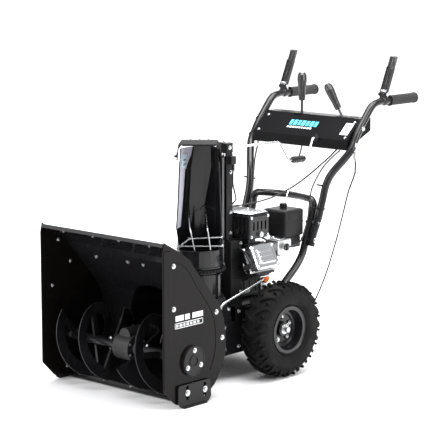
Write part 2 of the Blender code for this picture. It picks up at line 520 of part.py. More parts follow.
boolean(eng, box("cylinder_barrel", None, slanted(0.115, 0, 0.616) - Vector((0.070, 0.037, 0.044)), slanted(0.115, 0, 0.616) + Vector((0.070, 0.037, 0.044)), rot=SLANT, cutter=True), "UNION")
for k in range(7):
    c = slanted(0.098 + 0.0140 * k, 0, 0.616)
    boolean(eng, box(f"fin_{k}", None, c - Vector((0.0018, 0.0425, 0.054)), c + Vector((0.0018, 0.0425, 0.054)), rot=SLANT, cutter=True), "UNION")
boolean(eng, box("tank_seat", None, (-0.0750, 0.5950, 0.4250), (0.0200, 0.7000, 0.4547), cutter=True), "UNION")
boolean(eng, box("exhaust_neck", None, (0.0900, 0.5850, 0.4100), (0.1250, 0.6200, 0.4672), cutter=True), "UNION")
c = slanted(0.2060, 0, 0.6)
vc = box("valve_cover", "chrome", c - Vector((0.0205, 0.0600, 0.0440)), c + Vector((0.0160, 0.0600, 0.0440)), 0.007, rot=SLANT, at=c)
c2 = slanted(0.2240, 0, 0.6)
boolean(vc, box("cover_pad", None, c2 - Vector((0.0060, 0.0400, 0.0260)), c2 + Vector((0.0030, 0.0400, 0.0260)), 0.004, rot=SLANT, cutter=True), "UNION")
mf = box("muffler_cover", "gloss_black", (0.0550, 0.5510, 0.4675), (0.1600, 0.6570, 0.5560), 0.009)
boolean(mf, box("muffler_inside", None, (0.0575, 0.5535, 0.4600), (0.1575, 0.6545, 0.5530), 0.0, cutter=True))
boolean(mf, box("muffler_can", None, (0.0850, 0.5800, 0.4675), (0.1300, 0.6300, 0.5540), 0.0, cutter=True), "UNION")
boolean(mf, box("muffler_side_slots_a", None, (0.1500, 0.5700, 0.5000), (0.1700, 0.5780, 0.5300), cutter=True))
boolean(mf, box("muffler_side_slots_b", None, (0.1500, 0.5900, 0.5000), (0.1700, 0.5980, 0.5300), cutter=True))
boolean(mf, box("muffler_side_slots_c", None, (0.1500, 0.6100, 0.5000), (0.1700, 0.6180, 0.5300), cutter=True))
boolean(mf, box("muffler_side_slots_d", None, (0.1500, 0.6300, 0.5000), (0.1700, 0.6380, 0.5300), cutter=True))
ab = box("air_box", "plastic_black", (0.0450, 0.7503, 0.4490), (0.1500, 0.8520, 0.5450), 0.008)
boolean(ab, cyl("air_box_knob", None, "Z", (0.0975, 0.8010, 0.5520), 0.0120, 0.0200, 20, cutter=True), "UNION")
cb = box("carburettor", "aluminium", (0.1020, 0.6985, 0.4000), (0.1620, 0.7700, 0.4487), 0.003)
boolean(cb, cyl("intake", None, "Y", (0.1300, 0.6830, 0.4200), 0.0150, 0.0330, 20, cutter=True), "UNION")
boolean(cb, cyl("choke_spindle", None, "X", (0.1640, 0.7300, 0.4250), 0.0040, 0.0120, 12, cutter=True), "UNION")
tk = box("fuel_tank", "plastic_black", (-0.1400, 0.5735, 0.4550), (0.0400, 0.7400, 0.5450), 0.014)
boolean(tk, cyl("filler_neck", None, "Z", (-0.0600, 0.6550, 0.5480), 0.0180, 0.0200, 24, cutter=True), "UNION")
boolean(tk, cyl("filler_bore", None, "Z", (-0.0600, 0.6550, 0.5500), 0.0150, 0.0300, 24, cutter=True))
lathe("fuel_cap", "plastic_black", "Z", (-0.0600, 0.6550, 0), [(0.0, 0.5720), (0.0240, 0.5720), (0.0270, 0.5690), (0.0270, 0.5510), (0.0186, 0.5510), (0.0186, 0.5586), (0.0, 0.5586)], 28)
rc = lathe("recoil_cover", "gloss_black", "Y", (-0.010, 0, CRANK_Z), [(0.0, 0.7900), (0.0350, 0.7900), (0.0700, 0.7800), (0.0800, 0.7640), (0.0820, 0.7403), (0.0, 0.7403)], 36)
for k in range(8):
    a = 2 * math.pi * k / 8
    p = Vector((-0.010 + 0.052 * math.cos(a), 0.789, CRANK_Z + 0.052 * math.sin(a)))
    boolean(rc, box(f"vent_{k}", None, p - Vector((0.0120, 0.0100, 0.0030)), p + Vector((0.0120, 0.0100, 0.0030)), rot=Matrix.Rotation(-a, 4, "Y"), cutter=True))
sh = box("starter_handle", "plastic_black", (-0.0720, 0.7905, 0.3930), (-0.0280, 0.8060, 0.4100), 0.004)
oc = cyl("oil_filler_cap", "orange", "X", (0.0858, 0.7150, 0.3050), 0.0140, 0.0210, 20)

# ---- hoop, upper tubes, grips and clutch levers ---------------------------------------
leg = [(0.7280, 0.2625), (0.7660, 0.2950), (0.8260, 0.3430), (0.8600, 0.3880), (0.8800, 0.4500), (0.9000, 0.4900), (0.9120, 0.5300)]
right_leg = [Vector((0.1405, y, z)) for y, z in leg]
bar = [Vector((0.1405, 0.9160, 0.5480)), Vector((0.1280, 0.9190, 0.5640)), Vector((0.1050, 0.9240, 0.5670)), Vector((0.0500, 0.9430, 0.5670)), Vector((0.0, 0.9500, 0.5670))]
half = smooth(right_leg + bar, 0.016)
path = half + [Vector((-p.x, p.y, p.z)) for p in reversed(half[:-1])]
tube("handle_hoop", "gloss_black", path, TUBE_R, at=(0, 0.7280, 0.2625), res=2)

UP = [(0.2350, 1.3720, 0.9020), (0.2350, 1.1950, 0.9020), (0.2350, 1.1650, 0.9015), (0.2350, 1.1250, 0.8900), (0.2350, 1.0790, 0.8420), (0.2350, 1.0440, 0.8000), (0.2352, 1.0250, 0.7700), (0.2345, 1.0060, 0.7400), (0.2180, 0.9830, 0.7060), (0.1920, 0.9530, 0.6600), (0.1790, 0.9380, 0.6200), (0.1740, 0.9260, 0.5700), (0.1730, 0.9040, 0.5050), (0.1700, 0.8830, 0.4550), (0.1690, 0.8680, 0.4100)]
for side, s in (("left", 1), ("right", -1)):
    pts = [Vector(UP[0])] + smooth([Vector(p) for p in UP[1:]], 0.020)
    t = as_mesh(tube("handle_tube_" + side, "gloss_black", [Vector((s * p.x, p.y, p.z)) for p in pts], TUBE_R, res=2))
    x = s * HANDLE_X
    boolean(t, box("lever_bracket_" + side, None, (x - 0.0110, 1.1810, 0.9000), (x + 0.0110, 1.1990, 0.9340), 0.001, cutter=True), "UNION")
    boolean(t, cyl("lever_pin_" + side, None, "X", (x, 1.1900, 0.9270), 0.0030, 0.0360, 14, cutter=True), "UNION")
    lathe("grip_" + side, "rubber", "Y", (x, 0, 0.9020), [(0.0, 1.3800), (0.0120, 1.3795), (0.0170, 1.3740), (0.0170, 1.2230), (0.0139, 1.2230), (0.0139, 1.3724), (0.0, 1.3724)], 24)
    ang = math.radians(66)
    dv, nv = Vector((0, math.cos(ang), math.sin(ang))), Vector((0, -math.sin(ang), math.cos(ang)))
    piv = Vector((x, 1.1900, 0.9270))
    turn = Matrix.Rotation(ang, 4, "X")
    c = piv + dv * 0.0810
    lv = box("clutch_lever_" + side, "plastic_black", c - Vector((0.0150, 0.0640, 0.0022)), c + Vector((0.0150, 0.0640, 0.0022)), 0.0015, rot=turn, at=piv)
    for j, sx in enumerate((-1, 1)):
        e = piv + Vector((sx * 0.0139, 0, 0)) + dv * 0.0480
        boolean(lv, box(f"lever_wall_{side}_{j}", None, e - Vector((0.0011, 0.0560, 0.0060)), e + Vector((0.0011, 0.0560, 0.0060)), rot=turn, cutter=True), "UNION")
    boolean(lv, cyl("lever_bore_" + side, None, "X", piv, 0.0034, 0.0500, 14, cutter=True))

# ---- control panel and its levers --------------------------------------------------------
panel = prism("control_panel", [(1.0000, 0.7400), (1.0000, 0.7755), (1.0785, 0.8460), (1.1350, 0.8460), (1.1350, 0.8000)], -0.2206, 0.2206, cutter=False, key="satin_black")
boolean(panel, prism("panel_inside", [(1.0030, 0.7000), (1.0030, 0.7742), (1.0797, 0.8430), (1.1320, 0.8430), (1.1320, 0.7000)], -0.2176, 0.2176))
boolean(panel, box("speed_slot", None, (-0.0770, 1.0815, 0.8300), (-0.0630, 1.1185, 0.8600), cutter=True))
boolean(panel, box("deflector_slot", None, (0.1050, 1.0930, 0.8300), (0.1740, 1.1070, 0.8600), cutter=True))
boolean(panel, cyl("crank_hole", None, tuple(cdir), C1, 0.0052, 0.0200, 14, cutter=True))
sl = cyl("speed_lever", "plastic_black", "Z", (-0.0700, 1.1000, 0.8200), 0.0045, 0.1500, 12)
boolean(sl, lathe("speed_knob", None, "Z", (-0.0700, 1.1000, 0), [(0.0, 0.9960), (0.0100, 0.9940), (0.0160, 0.9850), (0.0175, 0.9650), (0.0130, 0.9200), (0.0115, 0.8920), (0.0, 0.8920)], 20, cutter=True), "UNION")
dp = Vector((0.1480, 1.1000, 0.8000))
dd = Vector((-0.5390, 0, 0.8423)).normalized()
dl = cyl("deflector_lever", "plastic_black", tuple(dd), dp + dd * 0.0300, 0.0045, 0.1200, 12)
boolean(dl, lathe("deflector_knob", None, tuple(dd), dp, [(0.0, 0.1880), (0.0100, 0.1860), (0.0150, 0.1780), (0.0165, 0.1600), (0.0130, 0.1150), (0.0115, 0.0860), (0.0, 0.0860)], 20, cutter=True), "UNION")
tube("speed_rod", "zinc", smooth([(-0.0610, 1.0960, 0.7420), (-0.0300, 1.0380, 0.6910), (0.0130, 0.9195, 0.5640), (0.0290, 0.8560, 0.4400), (0.0300, 0.8350, 0.3300), (0.0300, 0.8300, 0.2300)], 0.03), 0.0030, res=1)
boolean(ch_b, box("shift_tab", None, (0.0150, 0.8030, 0.1900), (0.0450, 0.8340, 0.2000), cutter=True), "UNION")

# cables
tube("clutch_cable_left", "rubber", smooth([(0.2560, 1.0040, 0.7200), (0.2420, 1.0220, 0.6600), (0.2160, 1.0200, 0.5950), (0.2080, 0.9900, 0.4900), (0.1950, 0.9700, 0.4000), (0.1720, 0.9400, 0.2800), (0.1550, 0.8840, 0.1800), (0.1400, 0.8120, 0.1600)], 0.035), 0.0028, res=1)
tube("clutch_cable_right", "rubber", smooth([(-0.2000, 1.0080, 0.7370), (-0.2000, 0.9870, 0.6750), (-0.2000, 0.9780, 0.5780), (-0.1900, 0.9550, 0.4500), (-0.1700, 0.9150, 0.3200), (-0.1550, 0.8600, 0.2000), (-0.1400, 0.8120, 0.1600)], 0.035), 0.0028, res=1)
tube("deflector_cable", "rubber", smooth([(0.1020, 0.5320, 0.7270), (0.0990, 0.5340, 0.6600), (0.0980, 0.5520, 0.6050), (0.0700, 0.5580, 0.5800), (0.0475, 0.5900, 0.5720), (0.0475, 0.7000, 0.5700), (0.0550, 0.8200, 0.5850), (0.0900, 0.9100, 0.6300), (0.1300, 1.0200, 0.7100), (0.1400, 1.0600, 0.7450)], 0.035), 0.0028, res=1)
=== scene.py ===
import math

import bmesh
import bpy
from mathutils import Matrix, Vector

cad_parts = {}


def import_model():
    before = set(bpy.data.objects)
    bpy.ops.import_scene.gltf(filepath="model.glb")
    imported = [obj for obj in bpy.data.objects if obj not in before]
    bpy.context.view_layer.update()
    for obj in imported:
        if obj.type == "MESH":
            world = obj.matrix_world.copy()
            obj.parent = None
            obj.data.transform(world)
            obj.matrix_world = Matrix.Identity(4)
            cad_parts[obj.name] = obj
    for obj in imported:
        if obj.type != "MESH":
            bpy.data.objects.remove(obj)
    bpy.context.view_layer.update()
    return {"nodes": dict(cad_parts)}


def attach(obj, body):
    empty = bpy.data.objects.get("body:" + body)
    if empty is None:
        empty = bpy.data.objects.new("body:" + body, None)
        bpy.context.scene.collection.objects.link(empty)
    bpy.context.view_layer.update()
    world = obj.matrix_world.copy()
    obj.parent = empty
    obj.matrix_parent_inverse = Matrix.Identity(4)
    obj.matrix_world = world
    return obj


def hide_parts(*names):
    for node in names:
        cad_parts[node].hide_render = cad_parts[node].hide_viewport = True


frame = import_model()
N = frame["nodes"]
OY = -0.690


# ---------------------------------------------------------------- materials
def new_mat(name, colour, rough, metal=0.0, var=0.25, rough_var=0.12, bump=0.02, scale=60.0, bevel=0.0009, coat=0.0, grain=None, dust=0.0):
    m = bpy.data.materials.new(name)
    m.use_nodes = True
    t = m.node_tree
    b = t.nodes["Principled BSDF"]
    L = t.links.new
    geo = t.nodes.new("ShaderNodeTexCoord")
    n1 = t.nodes.new("ShaderNodeTexNoise")
    n1.inputs["Scale"].default_value = scale
    n1.inputs["Detail"].default_value = 6.0
    n2 = t.nodes.new("ShaderNodeTexNoise")
    n2.inputs["Scale"].default_value = 6.0
    n2.inputs["Detail"].default_value = 4.0
    if grain:
        mp = t.nodes.new("ShaderNodeMapping")
        mp.inputs["Scale"].default_value = grain
        L(geo.outputs["Object"], mp.inputs["Vector"])
        L(mp.outputs["Vector"], n1.inputs["Vector"])
    else:
        L(geo.outputs["Object"], n1.inputs["Vector"])
    L(geo.outputs["Object"], n2.inputs["Vector"])
    mix = t.nodes.new("ShaderNodeMix")
    mix.data_type = "RGBA"
    mix.inputs[6].default_value = (*[c * (1 - var) for c in colour], 1)
    mix.inputs[7].default_value = (*[min(1, c * (1 + var) + 0.002) for c in colour], 1)
    L(n2.outputs["Fac"], mix.inputs[0])
    out = mix.outputs[2]
    if dust > 0:
        dn = t.nodes.new("ShaderNodeTexNoise")
        dn.inputs["Scale"].default_value = 14.0
        dn.inputs["Detail"].default_value = 8.0
        L(geo.outputs["Object"], dn.inputs["Vector"])
        r = t.nodes.new("ShaderNodeMapRange")
        r.inputs["From Min"].default_value = 0.5
        r.inputs["From Max"].default_value = 0.9
        r.inputs["To Max"].default_value = dust
        L(dn.outputs["Fac"], r.inputs["Value"])
        dm = t.nodes.new("ShaderNodeMix")
        dm.data_type = "RGBA"
        dm.inputs[7].default_value = (0.32, 0.29, 0.25, 1)
        L(r.outputs["Result"], dm.inputs[0])
        L(out, dm.inputs[6])
        out = dm.outputs[2]
    L(out, b.inputs["Base Color"])
    rr = t.nodes.new("ShaderNodeMapRange")
    rr.inputs["To Min"].default_value = max(0.02, rough - rough_var)
    rr.inputs["To Max"].default_value = min(1.0, rough + rough_var)
    L(n1.outputs["Fac"], rr.inputs["Value"])
    L(rr.outputs["Result"], b.inputs["Roughness"])
    b.inputs["Metallic"].default_value = metal
    if coat:
        b.inputs["Coat Weight"].default_value = coat
        b.inputs["Coat Roughness"].default_value = 0.08
    bp = t.nodes.new("ShaderNodeBump")
    bp.inputs["Strength"].default_value = bump * 10
    bp.inputs["Distance"].default_value = 0.0006
    L(n1.outputs["Fac"], bp.inputs["Height"])
    if bevel:
        bv = t.nodes.new("ShaderNodeBevel")
        bv.samples = 4
        bv.inputs["Radius"].default_value = bevel
        L(bv.outputs["Normal"], bp.inputs["Normal"])
    L(bp.outputs["Normal"], b.inputs["Normal"])
    return m


GLOSS = new_mat("gloss_black", (0.008, 0.008, 0.009), 0.20, coat=0.5, bump=0.003, scale=120, rough_var=0.05)
DEFLM = new_mat("deflector_black", (0.009, 0.009, 0.010), 0.70, bump=0.03, scale=300)
DEFLM.node_tree.nodes["Principled BSDF"].inputs["Specular IOR Level"].default_value = 0.12
# pale lavender colour of the strip on the chute's left inner wall: painted reflection of the lights on the glossy black
# wall
PAINTED_REFLECTION = new_mat("chute_painted_reflection", (0.66, 0.65, 0.76), 0.36, metal=0.0, var=0.06, bump=0.004, scale=60)
PANELM = new_mat("panel_black", (0.0048, 0.0048, 0.0054), 0.36, bump=0.006, scale=300, rough_var=0.06)
# dark metal for a thin strip on the auger flight rims: painted highlight along the glossy black flights
FLIGHT_EDGE_SHEEN = new_mat("flight_edge_painted_highlight", (0.085, 0.085, 0.088), 0.50, metal=0.8, var=0.3, bump=0.03, scale=200)
PLATEM = new_mat("side_black", (0.005, 0.004, 0.0036), 0.24, coat=0.35, bump=0.002, scale=90, rough_var=0.05)
INSIDE = new_mat("inside_black", (0.014, 0.013, 0.013), 0.33, coat=0.3, bump=0.014, scale=200, rough_var=0.10)
SATIN = new_mat("satin_black", (0.0104, 0.0104, 0.0111), 0.42, bump=0.02, scale=220)
PLASTIC = new_mat("plastic_black", (0.0084, 0.0084, 0.009), 0.50, bump=0.06, scale=420, rough_var=0.08)
KNOB = new_mat("knob_black", (0.010, 0.010, 0.011), 0.26, bump=0.01, scale=200, coat=0.3)
RUBBER = new_mat("rubber", (0.017, 0.016, 0.016), 0.66, bump=0.05, scale=300, dust=0.05)
TYREM = new_mat("tyre_rubber", (0.0063, 0.0061, 0.0063), 0.55, bump=0.05, scale=260, dust=0.06)
ZINC = new_mat("zinc", (0.70, 0.71, 0.73), 0.24, metal=1.0, var=0.10, bump=0.015, scale=150)
STEEL = new_mat("steel", (0.48, 0.48, 0.50), 0.34, metal=1.0, var=0.15, bump=0.02, scale=120, grain=(1, 1, 14))
ALU = new_mat("cast_aluminium", (0.60, 0.61, 0.62), 0.40, metal=1.0, var=0.12, bump=0.09, scale=340)
CHROME = new_mat("chrome", (0.78, 0.80, 0.83), 0.13, metal=1.0, var=0.05, rough_var=0.05, bump=0.01, scale=90)
CASTBLK = new_mat("cast_black", (0.018, 0.018, 0.019), 0.46, bump=0.10, scale=300)
ORANGE = new_mat("orange", (0.80, 0.16, 0.015), 0.38, var=0.08, bump=0.02)
BRONZE = new_mat("bronze", (0.55, 0.36, 0.14), 0.35, metal=1.0)
CYAN = new_mat("print_cyan", (0.10, 0.52, 0.72), 0.42, var=0.05, bump=0.005, bevel=0)
WHITE = new_mat("print_white", (0.78, 0.79, 0.80), 0.42, var=0.04, bump=0.005, bevel=0)
PALEBLUE = new_mat("print_pale_blue", (0.55, 0.70, 0.80), 0.40, var=0.04, bump=0.005, bevel=0)
GREY = new_mat("print_grey", (0.22, 0.22, 0.23), 0.45, var=0.05, bump=0.005, bevel=0)
YELLOW = new_mat("spring_yellow", (0.62, 0.60, 0.55), 0.3, metal=1.0, var=0.08)

for m, v in ((PLATEM, 0.10), (PANELM, 0.08), (GLOSS, 0.30), (TYREM, 0.07), (SATIN, 0.26), (PLASTIC, 0.24)):
    m.node_tree.nodes["Principled BSDF"].inputs["Specular IOR Level"].default_value = v
for m, v in ((PLATEM, 0.05), (GLOSS, 0.20)):
    m.node_tree.nodes["Principled BSDF"].inputs["Coat Weight"].default_value = v

LOOK = {
    "auger_housing": GLOSS, "side_plate": PLATEM, "scraper_bar": SATIN, "skid_shoe": SATIN, "auger_bearing": SATIN, "auger_shaft": STEEL, "auger_left": GLOSS, "auger_right": GLOSS,
    "auger_gearbox": CASTBLK, "worm_wheel": BRONZE, "impeller_shaft": STEEL, "impeller_bearing": STEEL, "impeller_pulley": ALU, "impeller": GLOSS, "engine_pulley": STEEL,
    "drive_belt": RUBBER, "belt_cover": PLASTIC, "discharge_chute": GLOSS, "chute_ring_gear": PLASTIC, "chute_guard": ZINC, "chute_deflector": DEFLM, "chute_column": SATIN,
    "column_head": PLASTIC, "chute_drive_shaft": STEEL, "chute_crank_rod": ZINC, "chute_crank_grip": KNOB, "chassis": GLOSS, "wheel_axle": STEEL, "wheel_rim": GLOSS, "tyre": TYREM,
    "engine_block": CASTBLK, "valve_cover": CHROME, "muffler_cover": GLOSS, "air_box": PLASTIC, "carburettor": ALU, "fuel_tank": PLASTIC, "fuel_cap": PLASTIC, "recoil_cover": GLOSS,
    "starter_handle": RUBBER, "oil_filler_cap": ORANGE, "handle_hoop": GLOSS, "handle_tube": GLOSS, "grip": RUBBER, "clutch_lever": KNOB, "control_panel": PANELM, "speed_lever": KNOB,
    "deflector_lever": KNOB, "speed_rod": ZINC, "clutch_cable": RUBBER, "deflector_cable": RUBBER,
}
SLOT_OF = {}
for name, o in N.items():
    key = max((k for k in LOOK if name.startswith(k)), key=len)
    SLOT_OF[name] = key
    o.data.materials.clear()
    o.data.materials.append(LOOK[key])


# ---------------------------------------------------------------- geometry helpers
def P(x, y, z):
    """A point given from the front rim, in the row frame."""
    return Vector((x, y + OY, z))


def axis_m(axis, at):
    v = {"X": Vector((1, 0, 0)), "Y": Vector((0, 1, 0)), "Z": Vector((0, 0, 1))}.get(axis) if isinstance(axis, str) else Vector(axis).normalized()
    return Matrix.Translation(at) @ Vector((0, 0, 1)).rotation_difference(v).to_matrix().to_4x4()


def obj(name, bm, mat, body, smooth=35):
    bmesh.ops.recalc_face_normals(bm, faces=bm.faces)
    me = bpy.data.meshes.new(name)
    bm.to_mesh(me)
    bm.free()
    for f in me.polygons:
        f.use_smooth = True
    me.set_sharp_from_angle(angle=math.radians(smooth))
    me.materials.append(mat)
    o = bpy.data.objects.new(name, me)
    bpy.context.scene.collection.objects.link(o)
    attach(o, body)
    return o


def b_box(bm, mid, size, bevel=0.0, rot=None, seg=2):
    m = Matrix.Translation(mid) @ (rot or Matrix.Identity(4)) @ Matrix.Diagonal((*size, 1))
    r = bmesh.ops.create_cube(bm, size=1.0, matrix=m)
    if bevel:
        bmesh.ops.bevel(bm, geom=list({e for v in r["verts"] for e in v.link_edges}), offset=bevel, segments=seg, profile=0.5, affect="EDGES")


def b_cyl(bm, axis, at, r, depth, seg=32, r2=None, bevel=0.0):
    made = bmesh.ops.create_cone(bm, cap_ends=True, segments=seg, radius1=r, radius2=r if r2 is None else r2, depth=depth, matrix=axis_m(axis, at))
    if bevel:
        es = {e for v in made["verts"] for e in v.link_edges}
        rim = [e for e in es if any(len(f.verts) > 4 for f in e.link_faces)]
        bmesh.ops.bevel(bm, geom=rim, offset=bevel, segments=2, profile=0.5, affect="EDGES")


def b_lathe(bm, axis, at, prof, seg=48):
    """prof: closed ring of (radius, height)."""
    m = axis_m(axis, at)
    rings = []
    for i in range(seg):
        a = 2 * math.pi * i / seg
        rings.append([bm.verts.new(m @ Vector((r * math.cos(a), r * math.sin(a), h))) for r, h in prof])
    k = len(prof)
    for i in range(seg):
        A, B = rings[i], rings[(i + 1) % seg]
        for j in range(k):
            bm.faces.new((A[j], A[(j + 1) % k], B[(j + 1) % k], B[j]))


def b_tube(bm, pts, r, seg=12, closed=False):
    pts = [Vector(p) for p in pts]
    n = len(pts)
    t0 = (pts[1] - pts[0]).normalized()
    ref = t0.orthogonal().normalized()
    rings = []
    prev = t0
    for i, p in enumerate(pts):
        if closed:
            t = (pts[(i + 1) % n] - pts[i - 1]).normalized()
        else:
            t = (pts[min(i + 1, n - 1)] - pts[max(i - 1, 0)]).normalized()
        ref = prev.rotation_difference(t) @ ref
        ref = (ref - t * ref.dot(t)).normalized()
        prev = t
        w = t.cross(ref)
        rr = r[i] if isinstance(r, (list, tuple)) else r
        rings.append([bm.verts.new(p + (ref * math.cos(2 * math.pi * k / seg) + w * math.sin(2 * math.pi * k / seg)) * rr) for k in range(seg)])
    for i in range(n if closed else n - 1):
        A, B = rings[i], rings[(i + 1) % n]
        for k in range(seg):
            bm.faces.new((A[k], A[(k + 1) % seg], B[(k + 1) % seg], B[k]))
    if not closed:
        bm.faces.new(rings[0][::-1])
        bm.faces.new(rings[-1])


def smooth_pts(points, step):
    pts = [Vector(p) for p in points]
    ext = [pts[0] * 2 - pts[1]] + pts + [pts[-1] * 2 - pts[-2]]
    out = []
    for i in range(1, len(ext) - 2):
        p0, p1, p2, p3 = ext[i - 1:i + 3]
        n = max(1, round((p2 - p1).length / step))
        for k in range(n):
            t = k / n
            out.append(0.5 * ((2 * p1) + (p2 - p0) * t + (2 * p0 - 5 * p1 + 4 * p2 - p3) * t * t + (3 * p1 - p0 - 3 * p2 + p3) * t ** 3))
    return out + [pts[-1]]


def b_bolt(bm, at, axis, r=0.005, head=0.0035, washer=True):
    """Hex head on a washer, standing on `at` and pointing along `axis`."""
    v = ({"X": Vector((1, 0, 0)), "Y": Vector((0, 1, 0)), "Z": Vector((0, 0, 1))}[axis] if isinstance(axis, str) else Vector(axis)).normalized()
    at = Vector(at)
    if washer:
        b_cyl(bm, v, at + v * 0.0004, r * 1.55, 0.0012, 20)
    b_cyl(bm, v, at + v * (0.001 + head / 2), r, head, 6)
    b_cyl(bm, v, at + v * (0.001 + head), r * 0.62, 0.0012, 16)


def bolts(name, body, places, r=0.005, head=0.0035, mat=None):
    bm = bmesh.new()
    for at, ax in places:
        b_bolt(bm, at, ax, r, head)
    return obj(name, bm, mat or ZINC, body)



# ---------------------------------------------------------------- tyres with a lugged snow tread
WY, WZ, WR = 0.620, 0.165, 0.165
for side, s in (("left", 1), ("right", -1)):
    X = s * 0.245
    at = P(X, WY, WZ)
    bm = bmesh.new()
    carc = [(0.0846, 0.0350), (0.0900, 0.0405), (0.0925, 0.0430), (0.0960, 0.0440), (0.0975, 0.0455), (0.1050, 0.0475), (0.1180, 0.0487), (0.1300, 0.0482), (0.1395, 0.0462), (0.1460, 0.0430), (0.1510, 0.0380), (0.1545, 0.0280), (0.1560, 0.0150), (0.1565, 0.0)]
    prof = [(r, s * h) for r, h in carc] + [(r, -s * h) for r, h in reversed(carc[:-1])] + [(0.0800, -s * 0.031), (0.0800, s * 0.031)]
    b_lathe(bm, "X", at, prof, 96)
    # raised bands on the side walls
    for h in (1, -1):
        b_lathe(bm, "X", at, [(0.1000, h * 0.0462), (0.1012, h * 0.0476), (0.1030, h * 0.0478), (0.1040, h * 0.0466)], 96)
        b_lathe(bm, "X", at, [(0.1330, h * 0.0473), (0.1342, h * 0.0485), (0.1356, h * 0.0483), (0.1366, h * 0.0466)], 96)
    # lugs: alternating slanted bars that run over the shoulder
    def lug(ang, sgn, w0=0.010, w1=0.0135, skew=0.26):
        secs = [(0.0035, 0.1648, 0.1540, 0.55), (0.0180, 0.1646, 0.1540, 0.30), (0.0330, 0.1625, 0.1510, 0.0), (0.0430, 0.1560, 0.1420, -0.16), (0.0478, 0.1440, 0.1330, -0.20)]
        rows = []
        for h, rt, rb, k in secs:
            a0 = ang + skew * k
            w = w0 + (w1 - w0) * (h / 0.048)
            row = []
            for r, ww in ((rt, w * 0.78), (rb, w)):
                for e in (-1, 1):
                    a = a0 + e * ww / 2 / rt
                    hh = h + (0.0008 if (r == rt and h > 0.04) else 0.0)
                    row.append(bm.verts.new(at + Vector((sgn * min(hh, 0.0486), r * math.cos(a), r * math.sin(a)))))
            rows.append([row[0], row[1], row[3], row[2]])
        for A, B in zip(rows, rows[1:]):
            for j in range(4):
                bm.faces.new((A[j], A[(j + 1) % 4], B[(j + 1) % 4], B[j]))
        bm.faces.new(rows[0])
        bm.faces.new(rows[-1][::-1])
    COUNT = 20
    for i in range(COUNT):
        a = 2 * math.pi * i / COUNT
        lug(a, 1)
        lug(a + math.pi / COUNT, -1)
        # small blocks between the bars, at the shoulder
        for sg, off in ((1, math.pi / COUNT), (-1, 0.0)):
            aa = a + off
            c = at + Vector((sg * 0.0345, 0.1575 * math.cos(aa), 0.1575 * math.sin(aa)))
            b_box(bm, c, (0.0140, 0.0075, 0.0075), 0.0008, rot=Matrix.Rotation(aa, 4, "X"))
    t = obj("visual_tyre_" + side, bm, TYREM, "wheels", 28)
    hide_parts("tyre_" + side)

    # rim details: hub cap ring, bolts, pin, valve
    bm = bmesh.new()
    for k in range(5):
        a = 2 * math.pi * (k + 0.3) / 5
        b_bolt(bm, at + Vector((s * 0.0045, 0.0420 * math.cos(a), 0.0420 * math.sin(a))), (s, 0, 0), 0.0050, 0.0035)
    b_cyl(bm, "X", at + Vector((s * 0.0155, 0, 0)), 0.0165, 0.0024, 28)
    b_tube(bm, [at + Vector((s * 0.0230, 0.0, -0.0140)), at + Vector((s * 0.0230, 0.0, 0.0150)), at + Vector((s * 0.0230, 0.0060, 0.0200)), at + Vector((s * 0.0230, 0.0100, 0.0150)), at + Vector((s * 0.0230, 0.0104, -0.0100))], 0.0013, 8)
    obj("wheel_hardware_" + side, bm, ZINC, "wheels")
    bm = bmesh.new()
    b_lathe(bm, "X", at, [(0.0838, s * 0.0384), (0.0822, s * 0.0398), (0.0800, s * 0.0392), (0.0782, s * 0.0372), (0.0800, s * 0.0350)], 96)
    b_lathe(bm, "X", at, [(0.0560, s * 0.0035), (0.0545, s * 0.0065), (0.0515, s * 0.0065), (0.0500, s * 0.0030)], 72)
    obj("rim_beads_" + side, bm, GLOSS, "wheels")
    bm = bmesh.new()
    v = Vector((0, math.cos(2.2), math.sin(2.2)))
    b_cyl(bm, (s * 0.9, v.y * -0.44, v.z * -0.44), at + v * 0.0610 + Vector((s * 0.0180, 0, 0)), 0.0034, 0.0260, 14)
    b_cyl(bm, (s * 0.9, v.y * -0.44, v.z * -0.44), at + v * 0.0560 + Vector((s * 0.0290, 0, 0)), 0.0042, 0.0080, 14)
    obj("valve_stem_" + side, bm, RUBBER, "wheels")

